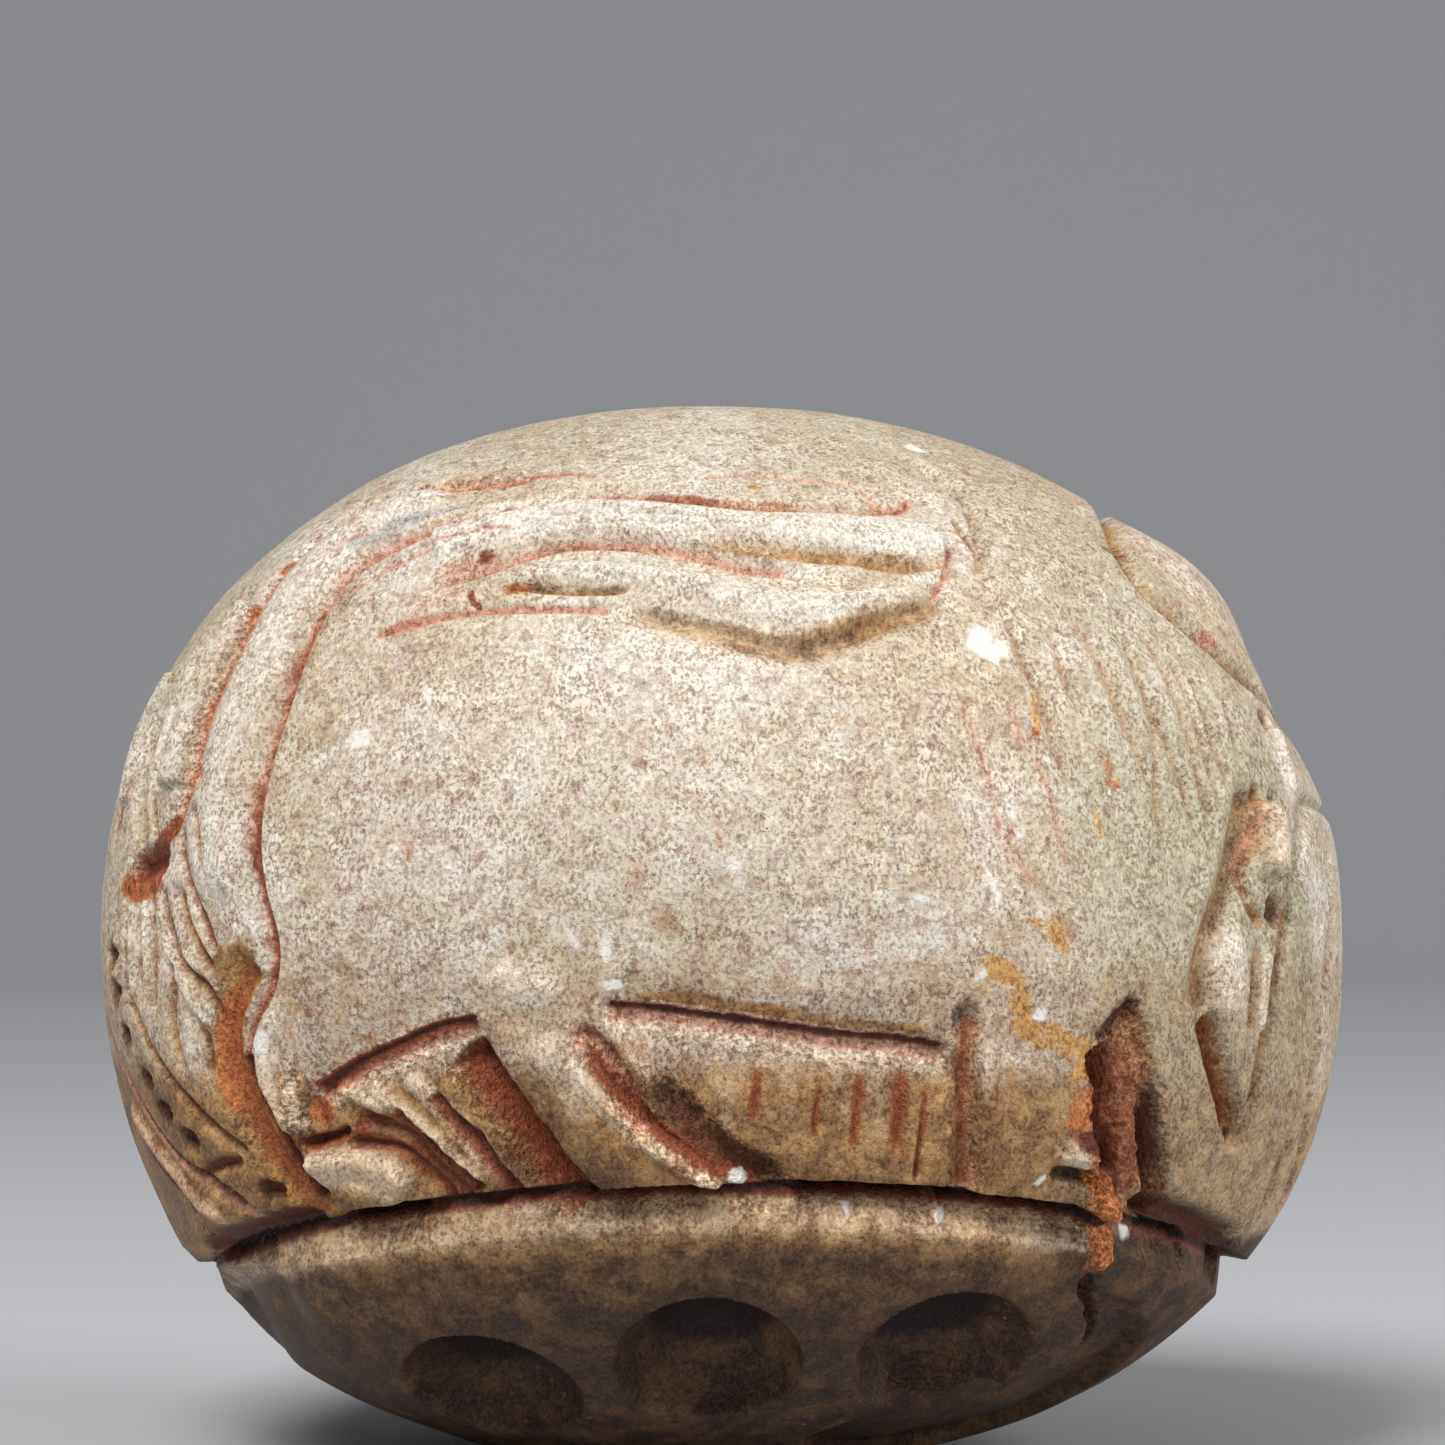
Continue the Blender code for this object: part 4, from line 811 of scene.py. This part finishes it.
bpy.ops.object.select_all(action="DESELECT")
bpy.ops.mesh.primitive_cylinder_add(vertices=HOLE_SIDES, radius=STRING_HOLE / 2 * MM,
                                    depth=1.2 * LENGTH * MM, rotation=(0.0, math.pi / 2, 0.0),
                                    location=(0.0, 0.0, (KEEL_DEPTH - REST_CUT) * MM))
string_drill = bpy.context.object
bpy.ops.object.select_all(action="DESELECT")
stone.select_set(True)
bpy.context.view_layer.objects.active = stone
bored = stone.modifiers.new("Bored", "BOOLEAN")
bored.object = string_drill
bored.solver = "EXACT"
bpy.ops.object.modifier_apply(modifier=bored.name)
bpy.data.objects.remove(string_drill, do_unlink=True)
stone.data.shade_smooth()

# The tints are worked out again for the thinned mesh, and kept with it for the material to read
points = read_points(stone.data) / MM
points[:, 2] -= KEEL_DEPTH - REST_CUT
carving = carve(points / np.linalg.norm(points, axis=1)[:, None])
for name, amount in carving.tints.items():
    layer = stone.data.attributes.new(name, "FLOAT", "POINT")
    layer.data.foreach_set("value", amount)


# The stone's material
# Speckled limestone: a beige ground clouded with pink and khaki, packed with dark and pale grains, and over
# them the tints that the tools and the soil left, some of them painted shade and highlight. It has the dull
# shine of stone that was handled for long.
stone_finish = bpy.data.materials.new("speckled_limestone")
stone_finish.use_nodes = True
tree = stone_finish.node_tree
surface = tree.nodes["Principled BSDF"]


def plug(value, socket):
    if hasattr(value, "is_output"):
        tree.links.new(value, socket)
    elif socket.type == "RGBA":
        socket.default_value = (*value, 1.0)
    else:
        socket.default_value = value


def add_node(kind, settings=None, **inputs):
    node = tree.nodes.new(kind)
    for name, value in (settings or {}).items():
        setattr(node, name, value)
    for name, value in inputs.items():
        plug(value, node.inputs[name.replace("_", " ")])
    return node


def stretched(x, y, z):
    return add_node("ShaderNodeMapping", Vector=millimetres, Scale=(x, y, z)).outputs["Vector"]


def noise(scale, detail=4.0, roughness=0.6, vector=None, shift=0.0):
    vector = vector or millimetres
    if shift:
        shifted = add_node("ShaderNodeMapping", Vector=vector, Location=(shift, shift, shift))
        vector = shifted.outputs["Vector"]
    return add_node("ShaderNodeTexNoise", Vector=vector, Scale=scale, Detail=detail,
                    Roughness=roughness).outputs["Fac"]


def ramp(value, low, high, to_low=0.0, to_high=1.0):
    node = add_node("ShaderNodeMapRange", {"interpolation_type": "SMOOTHSTEP"}, Value=value, From_Min=low,
                    From_Max=high, To_Min=to_low, To_Max=to_high)
    return node.outputs["Result"]


def combine(operation, first, second):
    node = add_node("ShaderNodeMath", {"operation": operation})
    plug(first, node.inputs[0])
    plug(second, node.inputs[1])
    return node.outputs[0]


def times(first, second):
    return combine("MULTIPLY", first, second)


def mixed(amount, first, second, blend="MIX"):
    node = add_node("ShaderNodeMix", {"data_type": "RGBA", "blend_type": blend})
    plug(amount, node.inputs["Factor"])
    plug(first, node.inputs[6])
    plug(second, node.inputs[7])
    return node.outputs[2]


def grains(scale, size, share):
    """Uneven grains, kept in some cells only: a mask that is 1 inside a grain."""
    cells = add_node("ShaderNodeTexVoronoi", Vector=jittered, Scale=scale)
    pick = add_node("ShaderNodeSeparateColor", Color=cells.outputs["Color"])
    kept = combine("LESS_THAN", pick.outputs["Red"], share)
    radius = times(pick.outputs["Green"], size)
    inside = combine("SUBTRACT", combine("ADD", radius, 0.3 * size), cells.outputs["Distance"])
    return times(kept, ramp(inside, 0.0, 0.25 * size))


def tint(name):
    return add_node("ShaderNodeAttribute", {"attribute_name": name}).outputs["Fac"]


def ragged(name, low, high, grain, spread=0.7, most=1.0):
    """A tint whose edge is broken up by the grain of the stone, and nothing where none was laid."""
    amount = tint(name)
    uneven = combine("ADD", amount, times(combine("SUBTRACT", grain, 0.5), spread))
    return times(ramp(uneven, low, high, 0.0, most), ramp(amount, 0.0, 0.15))


place = add_node("ShaderNodeTexCoord").outputs["Object"]
millimetres = add_node("ShaderNodeMapping", Vector=place, Scale=(1 / MM, 1 / MM, 1 / MM)).outputs["Vector"]
wander = add_node("ShaderNodeTexNoise", Vector=millimetres, Scale=4.0, Detail=2.0).outputs["Color"]
wander = add_node("ShaderNodeMapping", Vector=wander, Location=(-0.1, -0.1, -0.1), Scale=(0.2, 0.2, 0.2))
jitter = add_node("ShaderNodeVectorMath", {"operation": "ADD"})
plug(millimetres, jitter.inputs[0])
plug(wander.outputs["Vector"], jitter.inputs[1])
jittered = jitter.outputs["Vector"]
flakes = add_node("ShaderNodeTexVoronoi", Vector=jittered, Scale=3.4)
flake = add_node("ShaderNodeSeparateColor", Color=flakes.outputs["Color"])
cloud = noise(0.14, 2.0)
drift = noise(0.33, 4.0, 0.65, None, 5.0)
blotch = noise(0.9, 5.0, 0.7)
bruise = noise(1.5, 4.0, 0.65, None, 17.0)
mottle = noise(3.4, 4.0, 0.75)
flecks = noise(10.0, 2.0, 0.6, stretched(1.0, 1.0, 0.7))
crumbs = noise(6.5, 2.0, 0.6, jittered, 31.0)

ground = mixed(ramp(cloud, 0.4, 0.62), (0.615, 0.525, 0.395), (0.67, 0.59, 0.50))
# The brown and umber colours stand for soil, and also for painted shade in hollows and low down.
soil_and_shade_colour = mixed(ramp(blotch, 0.38, 0.62), (0.24, 0.12, 0.05), (0.44, 0.255, 0.105))
umber_colour = mixed(ramp(blotch, 0.4, 0.65), (0.05, 0.024, 0.013), (0.13, 0.065, 0.03))
pale_colour = mixed(tint("brown"), (0.78, 0.74, 0.67), (0.76, 0.61, 0.44))
rust_colour = mixed(ramp(crumbs, 0.42, 0.6), (0.21, 0.042, 0.016), (0.42, 0.115, 0.035))
for share, colour in ((ramp(drift, 0.5, 0.64, 0.0, 0.75), (0.76, 0.72, 0.655)),
                      (ramp(drift, 0.48, 0.35, 0.0, 0.65), (0.53, 0.415, 0.28)),
                      (ramp(blotch, 0.52, 0.66, 0.0, 0.45), (0.50, 0.36, 0.23)),
                      (ramp(blotch, 0.48, 0.32, 0.0, 0.5), (0.80, 0.735, 0.65)),
                      (ramp(bruise, 0.55, 0.63, 0.0, 0.55), (0.49, 0.33, 0.29)),
                      (ragged("khaki", 0.2, 1.1, blotch), (0.47, 0.425, 0.305)),
                      (ragged("brown", 0.1, 1.0, mottle, 1.0), soil_and_shade_colour),
                      (ragged("umber", 0.1, 1.0, mottle), umber_colour),
                      (ragged("pale", 0.1, 1.0, blotch, 0.9, 0.8), pale_colour),
                      (ragged("grey", 0.2, 0.9, mottle, 0.7, 0.75), (0.36, 0.36, 0.38)),
                      (ragged("pink", 0.15, 1.0, mottle, 0.9, 0.8), (0.65, 0.32, 0.22)),
                      (ragged("ochre", 0.25, 0.9, mottle, 1.5, 0.9), (0.56, 0.29, 0.075)),
                      (ragged("orange", 0.2, 0.8, mottle, 1.1, 0.95), (0.54, 0.185, 0.055)),
                      (ragged("rust", 0.2, 1.0, mottle, 1.1, 0.95), rust_colour)):
    ground = mixed(share, ground, colour)

# Flakes, flecks and crumbs darken or lighten whatever lies there
red, green = flake.outputs["Red"], flake.outputs["Green"]
fleck_shade = mixed(ramp(bruise, 0.42, 0.58), (0.54, 0.49, 0.42), (0.55, 0.45, 0.38))
crumbled = tint("crumbled")
for share, shade in ((times(combine("GREATER_THAN", red, 0.8), 0.6), (1.16, 1.17, 1.18)),
                     (times(combine("LESS_THAN", red, 0.18), 0.6), (0.82, 0.76, 0.68)),
                     (times(combine("GREATER_THAN", green, 0.9), 0.6), (0.74, 0.62, 0.60)),
                     (times(ramp(flecks, 0.51, 0.59), ramp(blotch, 0.62, 0.38, 0.35, 1.0)), fleck_shade),
                     (ramp(crumbs, 0.57, 0.66, 0.0, 0.75), (0.58, 0.50, 0.41)),
                     (ramp(crumbs, 0.46, 0.34, 0.0, 0.8), (1.28, 1.29, 1.28)),
                     (times(crumbled, ramp(crumbs, 0.5, 0.6)), (0.58, 0.45, 0.37)),
                     (times(crumbled, ramp(crumbs, 0.46, 0.36)), (1.3, 1.26, 1.2))):
    ground = mixed(share, ground, shade, "MULTIPLY")

# Dark grains, soil in the deep cuts, soil and painted shade in the pits, and shell
deep_soil_and_pit_shade = combine("MAXIMUM", ragged("stain", 0.65, 1.0, mottle), ragged("umber", 1.4, 1.9, mottle))
for share, colour in ((times(grains(2.6, 0.15, 0.22), 0.6), (0.24, 0.13, 0.085)),
                      (times(grains(3.3, 0.11, 0.17), 0.85), (0.05, 0.04, 0.035)),
                      (ragged("stain", 0.15, 0.75, mottle), (0.13, 0.030, 0.014)),
                      (deep_soil_and_pit_shade, (0.018, 0.006, 0.005)),
                      (ragged("white", 0.25, 0.7, mottle, 0.6, 0.9), (0.86, 0.84, 0.79))):
    ground = mixed(share, ground, colour)
plug(ground, surface.inputs["Base Color"])
plug(ramp(blotch, 0.3, 0.7, 0.42, 0.6), surface.inputs["Roughness"])
surface.inputs["Specular IOR Level"].default_value = 0.3

scratches = times(tint("scratched"), noise(1.0, 2.0, 0.6, stretched(0.35, 0.35, 8.0)))
relief = combine("ADD", times(mottle, 0.5), scratches)
relief = combine("SUBTRACT", relief, times(ramp(flecks, 0.45, 0.65), 0.4))
relief = combine("SUBTRACT", relief, times(crumbled, ramp(crumbs, 0.4, 0.65)))
bump = add_node("ShaderNodeBump", Strength=0.75, Distance=0.07 * MM, Height=relief)
plug(bump.outputs["Normal"], surface.inputs["Normal"])

stone.data.materials.clear()
stone.data.materials.append(stone_finish)
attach(stone, "root")
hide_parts("carved_stone")

# The floor
# A sheet of pale paper lies under the bead and sweeps up behind it in one wide bend, so that no edge shows.
# It is the studio's and no part of the bead.
FLOOR_REACH = 0.6
SWEEP = 0.3
bpy.ops.object.select_all(action="DESELECT")
bpy.ops.mesh.primitive_plane_add(size=2 * FLOOR_REACH, location=(0.0, 0.0, 0.0))
floor = bpy.context.object
floor.name = "studio_floor"
bpy.ops.object.mode_set(mode="EDIT")
bpy.ops.mesh.select_all(action="DESELECT")
bpy.ops.object.mode_set(mode="OBJECT")
for edge in floor.data.edges:
    edge.select = all(floor.data.vertices[index].co.y > 0.5 * FLOOR_REACH for index in edge.vertices)
bpy.ops.object.mode_set(mode="EDIT")
bpy.ops.mesh.select_mode(type="EDGE")
bpy.ops.mesh.extrude_region_move(TRANSFORM_OT_translate={"value": (0.0, 0.0, 2 * FLOOR_REACH)})
bpy.ops.object.mode_set(mode="OBJECT")
for edge in floor.data.edges:
    ends = [floor.data.vertices[index].co for index in edge.vertices]
    edge.select = all(end.y > 0.5 * FLOOR_REACH and end.z < 0.1 * FLOOR_REACH for end in ends)
bpy.ops.object.mode_set(mode="EDIT")
bpy.ops.mesh.bevel(offset=SWEEP, offset_type="OFFSET", segments=24, affect="EDGES")
bpy.ops.object.mode_set(mode="OBJECT")
floor.data.shade_smooth()
floor_finish = bpy.data.materials.new("studio_paper")
floor_finish.use_nodes = True
floor_finish.node_tree.nodes["Principled BSDF"].inputs["Base Color"].default_value = (0.49, 0.51, 0.54, 1.0)
floor_finish.node_tree.nodes["Principled BSDF"].inputs["Roughness"].default_value = 0.8
floor.data.materials.append(floor_finish)

# Studio light and camera
# A broad soft light high in front, a little to the left, a weaker one on the right, and an even pale
# surround. The camera is level, close in front of the carved side.
MIDDLE = Vector((0.0, 0.0, 0.016))


def soft_light(name, place, size, power, colour):
    lamp = bpy.data.lights.new(name, "AREA")
    lamp.energy = power
    lamp.size = size
    lamp.color = colour
    lamp_object = bpy.data.objects.new(name, lamp)
    lamp_object.location = place
    lamp_object.rotation_euler = (MIDDLE - Vector(place)).to_track_quat("-Z", "Y").to_euler()
    bpy.context.collection.objects.link(lamp_object)


soft_light("key", (-0.12, -0.22, 0.34), 0.18, 1.75, (1.0, 0.98, 0.955))
soft_light("fill", (0.35, -0.09, 0.17), 0.25, 1.05, (1.0, 0.98, 0.96))
surround = bpy.data.worlds.new("studio")
surround.use_nodes = True
surround.node_tree.nodes["Background"].inputs["Color"].default_value = (0.88, 0.87, 0.86, 1.0)
surround.node_tree.nodes["Background"].inputs["Strength"].default_value = 0.2
bpy.context.scene.world = surround
bpy.context.scene.view_settings.view_transform = "Standard"

CAMERA_DISTANCE = 170.0
PHOTO_WIDTH_PIXELS = 1445
PIXELS_PER_MM = 32.9
EYE_HEIGHT = 22.4
lens = bpy.data.cameras.new("camera")
lens.sensor_width = 36.0
lens.lens = lens.sensor_width * CAMERA_DISTANCE / (PHOTO_WIDTH_PIXELS / PIXELS_PER_MM)
lens.clip_start = 0.005
camera = bpy.data.objects.new("camera", lens)
camera.location = (0.0, -CAMERA_DISTANCE * MM, (EYE_HEIGHT - REST_CUT) * MM)
camera.rotation_euler = (math.pi / 2, 0.0, 0.0)
bpy.context.collection.objects.link(camera)
bpy.context.scene.camera = camera
